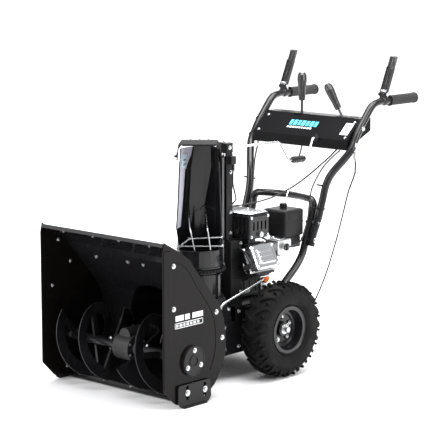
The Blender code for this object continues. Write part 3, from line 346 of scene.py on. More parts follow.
# ---------------------------------------------------------------- side plates: emboss, bolts, print
CONTOUR = [(0.0410, 0.4800), (0.0610, 0.4780), (0.1080, 0.4520), (0.1570, 0.3870), (0.2130, 0.3150), (0.2380, 0.2700), (0.2460, 0.2100), (0.2400, 0.1500), (0.2180, 0.1000), (0.1850, 0.0820), (0.0600, 0.0820), (0.0430, 0.0960)]
for side, s in (("left", 1), ("right", -1)):
    xs = s * 0.2851
    bm = bmesh.new()
    pts = smooth_pts([Vector((xs, y + OY, z)) for y, z in CONTOUR[:6]], 0.012)
    b_tube(bm, pts, 0.0017, 8)
    pts = smooth_pts([Vector((xs, y + OY, z)) for y, z in CONTOUR[5:9]], 0.012)
    b_tube(bm, pts, 0.0017, 8)
    obj("plate_emboss_" + side, bm, PLATEM, "frame")
    bolts("side_plate_bolts_" + side, "frame", [(P(s * 0.2853, y, z), (s, 0, 0)) for y, z in ((0.0480, 0.4690), (0.0480, 0.3300), (0.2480, 0.2900), (0.2760, 0.2000), (0.1350, 0.0680))], 0.0055, 0.0038)
    bolts("bearing_bolts_" + side, "frame", [(P(s * 0.2947, y, z), (s, 0, 0)) for y, z in ((0.1350, 0.1830), (0.1030, 0.1300), (0.1640, 0.1310))], 0.0055, 0.0031)
    bm = bmesh.new()
    b_lathe(bm, "X", P(s * 0.2946, 0.133, 0.148), [(0.0210, 0), (0.0210, s * 0.0022), (0.0150, s * 0.0026), (0.0150, 0)], 48)
    b_lathe(bm, "X", P(s * 0.2946, 0.133, 0.148), [(0.0480, 0), (0.0480, s * 0.0012), (0.0455, s * 0.0012), (0.0455, 0)], 64)
    obj("bearing_rings_" + side, bm, SATIN, "frame")
    # carriage bolts and big washers of the skid shoes
    bm = bmesh.new()
    for y, z in ((0.102, 0.048), (0.184, 0.046)):
        c = P(s * 0.2932, y, z)
        b_cyl(bm, "X", c + Vector((s * 0.0009, 0, 0)), 0.0105, 0.0016, 28)
        b_cyl(bm, "X", c + Vector((s * 0.0034, 0, 0)), 0.0068, 0.0042, 6)
        b_cyl(bm, "X", c + Vector((s * 0.0050, 0, 0)), 0.0038, 0.0020, 16)
    obj("shoe_bolts_" + side, bm, ZINC, "frame")
    # print: a row of outlined blocks over a framed row of bars
    bm = bmesh.new()
    x = s * 0.28535

    def frame_box(y0, y1, z0, z1, t):
        for a, b, c, d in ((y0, y1, z1 - t, z1), (y0, y1, z0, z0 + t), (y0, y0 + t, z0, z1), (y1 - t, y1, z0, z1)):
            b_box(bm, P(x, (a + b) / 2, (c + d) / 2), (0.0003, b - a, d - c))

    for y0, y1 in ((0.056, 0.094), (0.100, 0.122), (0.134, 0.184)):
        b_box(bm, P(x, (y0 + y1) / 2, 0.2970), (0.0003, y1 - y0, 0.0180))
    frame_box(0.053, 0.184, 0.2640, 0.2820, 0.0024)
    y = 0.059
    for ww in (0.010, 0.013, 0.008, 0.012, 0.010, 0.013, 0.009):
        b_box(bm, P(x, y + ww / 2, 0.2730), (0.0003, ww, 0.0080))
        y += ww + 0.0054
    obj("side_print_white_" + side, bm, WHITE, "frame")

# ---------------------------------------------------------------- housing: ribs, seams, fasteners
bm = bmesh.new()
for x in (-0.19, 0.19):
    b_box(bm, P(x, 0.1315, 0.4600) + Vector((0, -0.0040, 0.0)), (0.012, 0.0016, 0.0300), 0.0005, rot=Matrix.Rotation(math.radians(30), 4, "X"))
b_lathe(bm, "Y", P(0, 0.3010, 0.190), [(0.1534, 0), (0.1565, 0.0015), (0.1565, 0.0085), (0.1534, 0.0100)], 96)
b_lathe(bm, "Y", P(0, 0.4560, 0.190), [(0.1534, 0), (0.1560, 0.0015), (0.1560, 0.0085), (0.1534, 0.0100)], 96)
b_lathe(bm, "Z", P(0.050, 0.420, 0.3640), [(0.0747, 0), (0.0800, 0.0005), (0.0805, 0.0040), (0.0747, 0.0060)], 96)
obj("housing_seams", bm, GLOSS, "frame")
hb = []
for x in (-0.250, -0.125, 0.125, 0.250):
    hb.append((P(x, 0.1370, 0.0040), (0, 0, -1)))
bm = bmesh.new()
for x in (-0.250, -0.125, 0.0, 0.125, 0.250):
    b_cyl(bm, "Z", P(x, 0.1370, 0.0104), 0.0062, 0.0016, 24)
obj("scraper_bolt_heads", bm, ZINC, "frame")
bolts("drum_bolts", "frame", [(P(0.157 * math.cos(a), 0.461, 0.19 + 0.157 * math.sin(a)), (math.cos(a), 0, math.sin(a))) for a in (math.radians(20), math.radians(160))], 0.0045)
bolts("seat_bolts", "frame", [(P(x, 0.4722, z), (0, 1, 0)) for x, z in ((0.036, 0.226), (-0.036, 0.226), (0.036, 0.154), (-0.036, 0.154))], 0.0042)

inb = []
for x in (-0.180, -0.0290, 0.0420, 0.180):
    inb.append((P(x, 0.1570, 0.4260), (0, -0.76, -0.65)))
for x, z in ((-0.2000, 0.5300), (-0.0600, 0.5300), (0.0600, 0.5300), (0.2000, 0.5300)):
    inb.append((P(x, 0.0280, 0.5278), (0, -0.47, -0.88)))
for s in (-1, 1):
    inb += [(P(s * 0.2812, y, z), (-s, 0, 0)) for y, z in ((0.0780, 0.4920 - 0.008), (0.1320, 0.4030), (0.1110, 0.0280 + 0.012), (0.0480, 0.3300))]
bolts("housing_inner_bolts", "frame", inb, 0.0050, 0.0032)
# metal strip along each flight's rim: painted highlight of the lights on the black flight edge
for name, x0, x1, turns, start in (("left_0", 0.062, 0.246, 0.85, 0.35), ("left_1", 0.062, 0.246, 0.85, 0.35 + math.pi), ("right_0", -0.062, -0.246, -0.85, 1.25), ("right_1", -0.062, -0.246, -0.85, 1.25 + math.pi)):
    bm = bmesh.new()
    pts = []
    for i in range(61):
        t = i / 60
        a = start + 2 * math.pi * turns * t
        pts.append(P(x0 + (x1 - x0) * t, 0.130 + 0.1256 * math.cos(a), 0.148 + 0.1256 * math.sin(a)))
    b_tube(bm, pts, 0.0012, 8)
    obj("flight_edge_" + name, bm, FLIGHT_EDGE_SHEEN, "auger")

# auger: shear bolts, gearbox bolts
bm = bmesh.new()
for s in (-1, 1):
    for x in (0.085, 0.225):
        b_bolt(bm, P(s * x, 0.130, 0.148 + 0.0166), (0, 0, 1), 0.0050, 0.0040)
        b_bolt(bm, P(s * x, 0.130, 0.148 - 0.0166), (0, 0, -1), 0.0050, 0.0040)
obj("shear_bolts", bm, ZINC, "auger")
bm = bmesh.new()
for s in (-1, 1):
    for k in range(6):
        a = math.radians(30 + 60 * k)
        b_bolt(bm, P(s * 0.0362, 0.130 + 0.0370 * math.cos(a), 0.148 + 0.0370 * math.sin(a)), (s, 0, 0), 0.0034, 0.0026)
    b_lathe(bm, "X", P(s * 0.0362, 0.130, 0.148), [(0.0200, 0), (0.0200, s * 0.0040), (0.0112, s * 0.0040), (0.0112, 0)], 40)
obj("gearbox_hardware", bm, STEEL, "frame")
bm = bmesh.new()
b_lathe(bm, "Y", P(0, 0.2205, 0.190), [(0.0200, 0), (0.0200, 0.0060), (0.0108, 0.0060), (0.0108, 0)], 40)
b_cyl(bm, "Z", P(0.0, 0.150, 0.218), 0.0060, 0.0050, 6)
obj("gearbox_collar", bm, SATIN, "frame")

# ---------------------------------------------------------------- chute: seams, rolled edges, print, hardware
YAW = Matrix.Rotation(math.radians(42.0), 4, "Z")
CH = Matrix.Translation(P(0.050, 0.420, 0)) @ YAW


def ch(u, v, z):
    return CH @ Vector((u, -v, z))


ACROSS = (YAW @ Vector((1, 0, 0))).normalized()
FWD = (YAW @ Vector((0, -1, 0))).normalized()
bm = bmesh.new()
b_lathe(bm, "Z", P(0.050, 0.420, 0.3870), [(0.0778, 0), (0.0815, 0.0008), (0.0815, 0.0050), (0.0778, 0.0062)], 96)
b_lathe(bm, "Z", P(0.050, 0.420, 0.4460), [(0.0776, 0), (0.0796, 0.0010), (0.0796, 0.0035), (0.0776, 0.0045)], 96)
obj("chute_rings", bm, GLOSS, "chute")
bm = bmesh.new()
LEFT = [(-0.0770, 0.0330, 0.5200), (-0.0720, 0.0400, 0.5900), (-0.0660, 0.0420, 0.7150), (-0.0645, 0.0350, 0.7480)]
RIGHT = [(0.0750, 0.0330, 0.5200), (0.0720, 0.0400, 0.5900), (0.0680, 0.0420, 0.7150), (0.0670, 0.0350, 0.7480)]
for side in (LEFT, RIGHT):
    b_tube(bm, [ch(u, v + 0.0002, z) for u, v, z in side], 0.0024, 12)
obj("chute_hems", bm, GLOSS, "chute")
# pale strip on the left wall's inner face: painted reflection of the lights on the glossy black chute wall
LR = [((-0.0770, 0.0330), (-0.0660, -0.0110), 0.5200), ((-0.0720, 0.0400), (-0.0600, -0.0110), 0.5900), ((-0.0660, 0.0420), (-0.0505, -0.0180), 0.7150), ((-0.0630, 0.0200), (-0.0420, -0.0200), 0.7890)]
bm = bmesh.new()
rows = []
for k in range(len(LR) - 1):
    for i in range(8):
        t = i / 8
        rows.append([tuple(a + (b - a) * t for a, b in zip(LR[k][c], LR[k + 1][c])) for c in (0, 1)] + [LR[k][2] + (LR[k + 1][2] - LR[k][2]) * t])
rows.append([LR[-1][0], LR[-1][1], LR[-1][2]])
vs = []
for f, g, z in rows:
    n = Vector((g[0] - f[0], g[1] - f[1]))
    n = Vector((-n.y, n.x)).normalized()
    n = n if n.x > 0 else -n
    line = []
    for off in (0.0018, 0.0024):
        for p in (f, g):
            line.append(bm.verts.new(ch(p[0] + n.x * off, p[1] + n.y * off, z)))
    vs.append([line[0], line[1], line[3], line[2]])
for A, B in zip(vs, vs[1:]):
    for j in range(4):
        bm.faces.new((A[j], A[(j + 1) % 4], B[(j + 1) % 4], B[j]))
bm.faces.new(vs[0])
bm.faces.new(vs[-1][::-1])
obj("chute_painted_reflection_sheet", bm, PAINTED_REFLECTION, "chute")
# the painted reflection strip widens onto the next wall near the top
bm = bmesh.new()
vs = []
for i in range(9):
    t = i / 8
    z = 0.7150 + 0.0740 * t
    f = (-0.0500 + 0.0080 * t, -0.0200)
    g = (-0.0410 + 0.0190 * t, -0.0490 - 0.0010 * t)
    k = 0.22 + 0.70 * min(1.0, t * 1.6)
    g = (f[0] + (g[0] - f[0]) * k, f[1] + (g[1] - f[1]) * k)
    n = Vector((g[1] - f[1], -(g[0] - f[0]))).normalized()
    n = n if n.x > 0 else -n
    row = [bm.verts.new(ch(p[0] + n.x * o, p[1] + n.y * o, z)) for o, p in ((0.0018, f), (0.0018, g), (0.0024, g), (0.0024, f))]
    vs.append(row)
for A, B in zip(vs, vs[1:]):
    for j in range(4):
        bm.faces.new((A[j], A[(j + 1) % 4], B[(j + 1) % 4], B[j]))
bm.faces.new(vs[0])
bm.faces.new(vs[-1][::-1])
obj("chute_painted_reflection_wide", bm, PAINTED_REFLECTION, "chute")
# light label near the top of the left wall, with two plain bars
bm = bmesh.new()


def patch(bm, a, b, c, d, off):
    n = (b - a).cross(d - a).normalized() * off
    f = [bm.verts.new(p + n) for p in (a, b, c, d)]
    g = [bm.verts.new(p + n * 1.6) for p in (a, b, c, d)]
    bm.faces.new(f[::-1])
    bm.faces.new(g)
    for i in range(4):
        bm.faces.new((f[i], f[(i + 1) % 4], g[(i + 1) % 4], g[i]))


def wall(z, t):
    """A point on the left wall: z, and t from the front edge (0) to the back corner (1)."""
    rows = [((-0.0770, 0.0330), (-0.0660, -0.0110), 0.5200), ((-0.0720, 0.0400), (-0.0600, -0.0110), 0.5900), ((-0.0660, 0.0420), (-0.0505, -0.0180), 0.7150), ((-0.0630, 0.0200), (-0.0420, -0.0200), 0.7900)]
    for (a, b, za), (c, d, zb) in zip(rows, rows[1:]):
        if za <= z <= zb:
            k = (z - za) / (zb - za)
            f = (a[0] + (c[0] - a[0]) * k, a[1] + (c[1] - a[1]) * k)
            g = (b[0] + (d[0] - b[0]) * k, b[1] + (d[1] - b[1]) * k)
            return ch(f[0] + (g[0] - f[0]) * t, f[1] + (g[1] - f[1]) * t, z)


patch(bm, wall(0.7250, 0.16), wall(0.7250, 0.90), wall(0.7700, 0.90), wall(0.7700, 0.16), 0.0040)
obj("chute_label", bm, PALEBLUE, "chute")
bm = bmesh.new()
patch(bm, wall(0.7330, 0.26), wall(0.7330, 0.76), wall(0.7390, 0.76), wall(0.7390, 0.26), 0.0066)
patch(bm, wall(0.7480, 0.26), wall(0.7480, 0.64), wall(0.7540, 0.64), wall(0.7540, 0.26), 0.0066)
obj("chute_label_bars", bm, GREY, "chute")
# guard brackets
bm = bmesh.new()
for u, z in ((0.0765, 0.4940), (0.0795, 0.4640)):
    b_cyl(bm, tuple(ACROSS), ch(u, 0.0480, z), 0.0052, 0.0030, 16)
for u, v, z in ((-0.0335, 0.0480, 0.4880), (-0.0655, 0.0480, 0.4625)):
    b_cyl(bm, tuple(FWD), ch(u, v - 0.001, z), 0.0048, 0.0040, 16)
obj("guard_hardware", bm, ZINC, "chute")
# deflector: ribs, hinge bolts, gripping lip
bm = bmesh.new()
for u in (-0.030, 0.0, 0.030):
    b_box(bm, ch(u, -0.0200, 0.8125), (0.0040, 0.0560, 0.0030), 0.0008, rot=YAW)
b_box(bm, ch(0, 0.0610, 0.8070), (0.1120, 0.0030, 0.0060), 0.0010, rot=YAW)
obj("deflector_ribs", bm, DEFLM, "deflector")
bm = bmesh.new()
for s in (-1, 1):
    b_bolt(bm, ch(s * 0.0832, 0.0, 0.7660), tuple(ACROSS * s), 0.0046, 0.0030)
    b_bolt(bm, ch(s * 0.0762, 0.0330, 0.7720), tuple(ACROSS * s), 0.0034, 0.0026)
obj("deflector_bolts", bm, ZINC, "deflector")

# chute column: bolts, bracket, pinion hardware, crank details
bolts("column_bolts", "frame", [(P(0.0642 + 0.0240, 0.5360, z), (1, 0, 0)) for z in (0.4900, 0.5600, 0.7000)], 0.0046)
bolts("head_bolts", "frame", [(P(0.0890, 0.5300, 0.7840), (1, 0, 0)), (P(0.0640, 0.5300, 0.8000), (0, 0, 1))], 0.0050)
bm = bmesh.new()
b_box(bm, P(0.0642, 0.5320, 0.4690), (0.0640, 0.0420, 0.0022), 0.0005)
obj("column_foot_plate", bm, SATIN, "frame")
bm = bmesh.new()
for dz in range(6):
    b_lathe(bm, "Z", P(0.1020, 0.5320, 0.7060 + dz * 0.0036), [(0.0046, 0), (0.0058, 0.0008), (0.0058, 0.0020), (0.0046, 0.0028)], 20)
obj("cable_boot", bm, RUBBER, "frame")
C0, C1 = P(0.0560, 0.5473, 0.7780), P(0.0830, 0.9998, 0.7750)
CD = (C1 - C0).normalized()
bm = bmesh.new()
b_lathe(bm, tuple(CD), C0 + CD * 0.004, [(0.0042, 0), (0.0085, 0.0004), (0.0085, 0.0110), (0.0060, 0.0200), (0.0042, 0.0200)], 32)
obj("crank_collar", bm, PLASTIC, "crank")
bm = bmesh.new()
K0, K3 = C0 + CD * 0.262, C0 + CD * (C1 - C0).length * 0.955
G0, G1 = K0 + CD * 0.050 + Vector((0, 0, -0.069)), K3 - CD * 0.030 + Vector((0, 0, -0.070))
GD = (G1 - G0).normalized()
mid, half = (G0 + G1) / 2, (G1 - G0).length / 2 - 0.016
for t in (-0.75, -0.45, -0.15, 0.15, 0.45, 0.75):
    b_lathe(bm, tuple(GD), mid + GD * half * t, [(0.0104, -0.0016), (0.0121, -0.0010), (0.0121, 0.0010), (0.0104, 0.0016)], 32)
obj("crank_grip_rings", bm, KNOB, "crank")
bm = bmesh.new()
b_lathe(bm, tuple(CD), C1 - CD * 0.0030, [(0.0055, -0.0030), (0.0120, -0.0030), (0.0130, -0.0010), (0.0055, -0.0010)], 32)
obj("crank_bushing", bm, PLASTIC, "frame")

# ---------------------------------------------------------------- belt cover and chassis
bm = bmesh.new()
for x in (-0.070, -0.035, 0.0, 0.035):
    b_box(bm, P(x, 0.5110, 0.405), (0.0030, 0.0016, 0.0900), 0.0006)
for z in (0.300, 0.335, 0.370, 0.405, 0.440):
    b_box(bm, P(0.1125, 0.541, z), (0.0016, 0.0440, 0.0030), 0.0006)
obj("belt_cover_ribs", bm, PLASTIC, "frame")
bolts("belt_cover_bolts", "frame", [(P(0.1122, 0.5600, z), (1, 0, 0)) for z in (0.285, 0.453)] + [(P(-0.0982, 0.5600, z), (-1, 0, 0)) for z in (0.285, 0.453)], 0.0046)
cb = []
for s in (-1, 1):
    cb += [(P(s * 0.1572, y, z), (s, 0, 0)) for y, z in ((0.330, 0.110), (0.330, 0.178), (0.430, 0.110), (0.430, 0.185), (0.500, 0.232), (0.760, 0.232), (0.760, 0.110), (0.500, 0.110), (0.690, 0.110))]
cb += [(P(x, 0.8052, z), (0, 1, 0)) for x, z in ((-0.120, 0.105), (0.120, 0.105), (-0.120, 0.235), (0.120, 0.235), (0.0, 0.105))]
bolts("chassis_bolts", "frame", cb, 0.0048)
bm = bmesh.new()
for s in (-1, 1):
    b_lathe(bm, "X", P(s * 0.1572, WY, WZ), [(0.0270, 0), (0.0270, s * 0.0040), (0.0180, s * 0.0060), (0.0105, s * 0.0060), (0.0105, 0)], 40)
    b_box(bm, P(s * 0.1578, 0.655, 0.094), (0.0012, 0.2600, 0.0060), 0.0004)
    b_box(bm, P(s * 0.1578, 0.645, 0.246), (0.0012, 0.3000, 0.0060), 0.0004)
obj("chassis_flanges", bm, GLOSS, "frame")
bm = bmesh.new()
for s in (-1, 1):
    b_lathe(bm, "X", P(s * 0.1900, WY, WZ), [(0.0150, -0.0165), (0.0150, 0.0165), (0.0100, 0.0165), (0.0100, -0.0165)], 32)
obj("axle_spacers", bm, ZINC, "wheels")
# bright brace between housing and chassis, on the operator's left
bm = bmesh.new()
b_tube(bm, smooth_pts([P(0.1600, 0.4000, 0.2050), P(0.1610, 0.4020, 0.2450), P(0.1640, 0.4120, 0.2700), P(0.1640, 0.4500, 0.2810), P(0.1640, 0.6100, 0.3240), P(0.1600, 0.6220, 0.3270)], 0.01), 0.0044, 12)
b_box(bm, P(0.1600, 0.4000, 0.1930), (0.0050, 0.0220, 0.0240), 0.0012)
obj("brace_rod", bm, ZINC, "frame")

# ---------------------------------------------------------------- engine
SL = Matrix.Rotation(-math.radians(25), 4, "Y")


def sp(n, t, y):
    return P(-0.010 + n * 0.9063 - t * 0.4226, y, 0.320 + n * 0.4226 + t * 0.9063)


NV = Vector((0.9063, 0, 0.4226))
TV = Vector((-0.4226, 0, 0.9063))
bolts("valve_cover_bolts", "frame", [(sp(0.2222, t, y), tuple(NV)) for t in (-0.034, 0.034) for y in (0.550, 0.650)], 0.0044, 0.0034)
bm = bmesh.new()
for t in (-0.016, 0.0, 0.016):
    b_box(bm, sp(0.2272, t, 0.600), (0.0014, 0.0640, 0.0022), 0.0005, rot=SL)
b_box(bm, sp(0.1850, 0, 0.600), (0.0030, 0.1230, 0.0900), 0.0015, rot=SL)
obj("valve_cover_ribs", bm, CHROME, "frame")
# spark plug, its boot and lead
bm = bmesh.new()
b_cyl(bm, tuple(NV), sp(0.1900, -0.020, 0.535), 0.0095, 0.0300, 20)
b_tube(bm, smooth_pts([sp(0.200, -0.020, 0.535), sp(0.215, -0.020, 0.520) + Vector((0, 0, 0.01)), P(0.150, 0.535, 0.430), P(0.115, 0.548, 0.440), P(0.080, 0.574, 0.436)], 0.012), 0.0036, 10)
obj("plug_lead", bm, RUBBER, "frame")
# crankcase: sump rails, breather, recoil housing rim, oil filler
bm = bmesh.new()
b_box(bm, P(-0.010, 0.6580, 0.2590), (0.1860, 0.1780, 0.0120), 0.003)
for x in (-0.070, -0.030, 0.010, 0.050):
    b_box(bm, P(x, 0.7415, 0.3000), (0.0050, 0.0030, 0.0800), 0.001)
for y in (0.590, 0.620, 0.650, 0.680):
    b_box(bm, P(0.0765, y, 0.2860), (0.0030, 0.0050, 0.0420), 0.001)
obj("crankcase_ribs", bm, CASTBLK, "frame")
bm = bmesh.new()
b_box(bm, P(0.0790, 0.7180, 0.2790), (0.0080, 0.0360, 0.0300), 0.004)
b_box(bm, P(0.0780, 0.6200, 0.2700), (0.0060, 0.0520, 0.0160), 0.003)
b_cyl(bm, "X", P(0.0800, 0.7150, 0.3050), 0.0185, 0.0100, 28, bevel=0.001)
obj("sump_castings", bm, ALU, "frame")
bm = bmesh.new()
for k in range(8):
    a = 2 * math.pi * k / 8
    b_box(bm, P(0.0900, 0.7150 + 0.0132 * math.cos(a), 0.3050 + 0.0132 * math.sin(a)), (0.0110, 0.0036, 0.0036), 0.0008, rot=Matrix.Rotation(a, 4, "X"))
b_box(bm, P(0.0975, 0.7150, 0.3050), (0.0050, 0.0200, 0.0050), 0.0010)
obj("oil_cap_grips", bm, ORANGE, "frame")
bolts("engine_base_bolts", "frame", [(P(x, y, 0.2652), (0, 0, 1)) for x in (-0.0985, 0.0785) for y in (0.590, 0.728)], 0.0052)
# blower shroud over the cylinder; the bright zinc tube along its edge is a painted highlight on the black shroud edge
bm = bmesh.new()
b_box(bm, sp(0.120, 0.0590, 0.616), (0.1180, 0.0980, 0.0040), 0.0015, rot=SL)
b_box(bm, sp(0.110, 0.0100, 0.6665), (0.1050, 0.0040, 0.0980), 0.0015, rot=SL)
obj("blower_shroud", bm, GLOSS, "frame")
bm = bmesh.new()
# bright zinc tube: painted highlight on the shroud's black rolled edge
b_tube(bm, smooth_pts([P(0.1320, 0.5520, 0.3880), P(0.1320, 0.5600, 0.3620), P(0.1320, 0.5830, 0.3420), P(0.1320, 0.6300, 0.3300), P(0.1320, 0.6780, 0.3260)], 0.008), 0.0042, 12)
obj("shroud_edge_painted_highlight", bm, ZINC, "frame")
# muffler guard: louvres, bolts, outlet
bm = bmesh.new()
for i in range(5):
    b_box(bm, P(0.0700 + 0.0185 * i, 0.6040, 0.5566), (0.0060, 0.0700, 0.0020), 0.0008)
for i in range(5):
    b_box(bm, P(0.0700 + 0.0185 * i, 0.5503, 0.5150), (0.0060, 0.0018, 0.0500), 0.0007)
obj("muffler_louvres", bm, GLOSS, "frame")
# bright zinc plate on the muffler top: painted reflection of the lights on its glossy black top; its four bolts are
# real
bm = bmesh.new()
b_box(bm, P(0.1075, 0.6040, 0.5576), (0.0960, 0.0970, 0.0016), 0.0006)
for xx, yy in ((0.068, 0.562), (0.147, 0.562), (0.068, 0.646), (0.147, 0.646)):
    b_bolt(bm, P(xx, yy, 0.5584), (0, 0, 1), 0.0034, 0.0024)
obj("muffler_top_painted_reflection", bm, ZINC, "frame")
bm = bmesh.new()
b_box(bm, P(0.1000, 0.8090, 0.4300), (0.0920, 0.0640, 0.0420), 0.006, seg=3)
obj("air_box_lower", bm, PLASTIC, "frame")
bolts("muffler_bolts", "frame", [(P(0.1602, y, z), (1, 0, 0)) for y, z in ((0.562, 0.545), (0.646, 0.545), (0.562, 0.479), (0.646, 0.479))], 0.0036, 0.0026)
bm = bmesh.new()
b_cyl(bm, "X", P(0.1640, 0.6040, 0.4850), 0.0100, 0.0120, 24)
obj("muffler_outlet", bm, STEEL, "frame")
# air box, carburettor, choke and throttle
bm = bmesh.new()
b_box(bm, P(0.0975, 0.8010, 0.4985), (0.1064, 0.1030, 0.0030), 0.001)
for k in range(10):
    a = 2 * math.pi * k / 10
    b_box(bm, P(0.0975 + 0.0120 * math.cos(a), 0.8010 + 0.0120 * math.sin(a), 0.5555), (0.0034, 0.0034, 0.0110), 0.0008, rot=Matrix.Rotation(a, 4, "Z"))
b_box(bm, P(0.1502, 0.8010, 0.5220), (0.0016, 0.0600, 0.0260), 0.0007)
obj("air_box_details", bm, PLASTIC, "frame")
bm = bmesh.new()
b_cyl(bm, "X", P(0.1740, 0.7300, 0.4250), 0.0130, 0.0060, 28, bevel=0.0008)
b_box(bm, P(0.1785, 0.7300, 0.4250), (0.0060, 0.0060, 0.0220), 0.0015)
obj("choke_knob", bm, KNOB, "frame")
bm = bmesh.new()
b_tube(bm, smooth_pts([P(0.1300, 0.7600, 0.4520), P(0.1560, 0.7420, 0.4560), P(0.1640, 0.7100, 0.4520), P(0.1500, 0.6820, 0.4600)], 0.01), 0.0013, 8)
for i in range(9):
    b_lathe(bm, "Y", P(0.1500, 0.6700 + 0.0022 * i, 0.4620), [(0.0028, 0), (0.0038, 0.0004), (0.0038, 0.0012), (0.0028, 0.0016)], 14)
b_cyl(bm, "Z", P(0.1320, 0.7400, 0.3960), 0.0150, 0.0140, 24, bevel=0.001)
obj("governor_spring", bm, ZINC, "frame")
# fuel tank: seam, cap ribs, fuel line
bm = bmesh.new()
b_box(bm, P(-0.0500, 0.6568, 0.5000), (0.1830, 0.1695, 0.0040), 0.0016)
obj("tank_seam", bm, PLASTIC, "frame")
bm = bmesh.new()
for k in range(20):
    a = 2 * math.pi * k / 20
    b_box(bm, P(-0.060 + 0.0270 * math.cos(a), 0.655 + 0.0270 * math.sin(a), 0.5600), (0.0022, 0.0036, 0.0150), 0.0006, rot=Matrix.Rotation(a, 4, "Z"))
obj("cap_ribs", bm, PLASTIC, "tank_cap")
bm = bmesh.new()
b_tube(bm, smooth_pts([P(0.0200, 0.7300, 0.4530), P(0.0500, 0.7460, 0.4400), P(0.0900, 0.7420, 0.4300), P(0.1040, 0.7300, 0.4280)], 0.01), 0.0038, 12)
obj("fuel_line", bm, RUBBER, "frame")
# recoil starter: rim, cord, handle ribs
bm = bmesh.new()
b_lathe(bm, "Y", P(-0.010, 0.7440, 0.335), [(0.0815, 0), (0.0845, 0.0010), (0.0845, 0.0060), (0.0815, 0.0070)], 72)
b_lathe(bm, "Y", P(-0.010, 0.7895, 0.335), [(0.0100, 0), (0.0220, 0), (0.0220, 0.0025), (0.0100, 0.0025)], 40)
obj("recoil_rims", bm, GLOSS, "frame")
bolts("recoil_bolts", "frame", [(P(-0.010 + 0.0765 * math.cos(a), 0.7655, 0.335 + 0.0765 * math.sin(a)), (0, 1, 0)) for a in (math.radians(45), math.radians(135), math.radians(-45), math.radians(-135))], 0.0038)
bm = bmesh.new()
for x in (-0.066, -0.058, -0.042, -0.034):
    b_box(bm, P(x, 0.7985, 0.4015), (0.0026, 0.0168, 0.0182), 0.0008)
b_tube(bm, [P(-0.050, 0.7980, 0.3930), P(-0.050, 0.7960, 0.3850)], 0.0022, 8)
obj("starter_details", bm, RUBBER, "frame")
# electric starter can on the far side
bm = bmesh.new()
b_cyl(bm, "Y", P(-0.1150, 0.6600, 0.3000), 0.0180, 0.0900, 32, bevel=0.002)
obj("starter_motor", bm, CASTBLK, "frame")

# ---------------------------------------------------------------- handles
UP = [(0.2350, 1.3720, 0.9020), (0.2350, 1.1950, 0.9020), (0.2350, 1.1650, 0.9015), (0.2350, 1.1250, 0.8900), (0.2350, 1.0790, 0.8420), (0.2350, 1.0440, 0.8000), (0.2352, 1.0250, 0.7700), (0.2345, 1.0060, 0.7400), (0.2180, 0.9830, 0.7060), (0.1920, 0.9530, 0.6600), (0.1790, 0.9380, 0.6200), (0.1740, 0.9260, 0.5700), (0.1730, 0.9040, 0.5050), (0.1700, 0.8830, 0.4550), (0.1690, 0.8680, 0.4100)]
for side, s in (("left", 1), ("right", -1)):
    bm = bmesh.new()
    pts = [P(*UP[0])] + smooth_pts([P(*p) for p in UP[1:]], 0.006)
    pts = [Vector((s * p.x, p.y, p.z)) for p in pts]
    b_tube(bm, pts, 0.0135, 32)
    d = (pts[-1] - pts[-2]).normalized()
    b_cyl(bm, tuple(d), pts[-1] + d * 0.0002, 0.0125, 0.0030, 32)
    b_box(bm, P(s * 0.235, 1.190, 0.9170), (0.0220, 0.0180, 0.0340), 0.0016, seg=3)
    b_box(bm, P(s * 0.235, 1.190, 0.9020), (0.0310, 0.0240, 0.0310), 0.0100, seg=4)
    b_cyl(bm, "X", P(s * 0.235, 1.190, 0.9270), 0.0030, 0.0360, 20)
    t = obj("visual_handle_" + side, bm, GLOSS, "frame")
    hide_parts("handle_tube_" + side)
leg = [(0.7280, 0.2625), (0.7660, 0.2950), (0.8260, 0.3430), (0.8600, 0.3880), (0.8800, 0.4500), (0.9000, 0.4900), (0.9120, 0.5300)]
half_pts = [Vector((0.1405, y, z)) for y, z in leg] + [Vector(v) for v in ((0.1405, 0.9160, 0.5480), (0.1280, 0.9190, 0.5640), (0.1050, 0.9240, 0.5670), (0.0500, 0.9430, 0.5670), (0.0, 0.9500, 0.5670))]
hp = smooth_pts(half_pts, 0.006)
hp = hp + [Vector((-p.x, p.y, p.z)) for p in reversed(hp[:-1])]
bm = bmesh.new()
b_tube(bm, [P(*p) for p in hp], 0.0135, 32)
t = obj("visual_hoop", bm, GLOSS, "frame")
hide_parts("handle_hoop")
bm = bmesh.new()
for s in (-1, 1):
    for y, z in ((0.8740, 0.4300), (0.8985, 0.4880)):
        b_bolt(bm, P(s * 0.1835, y, z), (s, 0, 0), 0.0058, 0.0042)
        b_cyl(bm, "X", P(s * 0.1545, y, z), 0.0048, 0.0640, 14)
        b_bolt(bm, P(s * 0.1268, y, z), (-s, 0, 0), 0.0058, 0.0042)
    b_bolt(bm, P(s * 0.2495, 1.0560, 0.8150), (s, 0, 0), 0.0055, 0.0040)
    b_bolt(bm, P(s * 0.2495, 1.0180, 0.7600), (s, 0, 0), 0.0055, 0.0040)
    b_bolt(bm, P(s * 0.2530, 1.1900, 0.9270), (s, 0, 0), 0.0046, 0.0030)
    b_bolt(bm, P(s * 0.2170, 1.1900, 0.9270), (-s, 0, 0), 0.0046, 0.0030)
    b_bolt(bm, P(s * 0.1400, 0.7100, 0.2505), (0, 0, 1), 0.0055, 0.0040)
obj("handle_bolts", bm, ZINC, "frame")
bm = bmesh.new()
for s in (-1, 1):
    b_box(bm, P(s * 0.1405, 0.7250, 0.2520), (0.0360, 0.0520, 0.0030), 0.0008)
    b_lathe(bm, "X", P(s * 0.1404, 0.7280, 0.2625), [(0.0136, -0.001), (0.0136, 0.001), (0.0138, 0.001), (0.0138, -0.001)], 24)
obj("hoop_feet", bm, GLOSS, "frame")
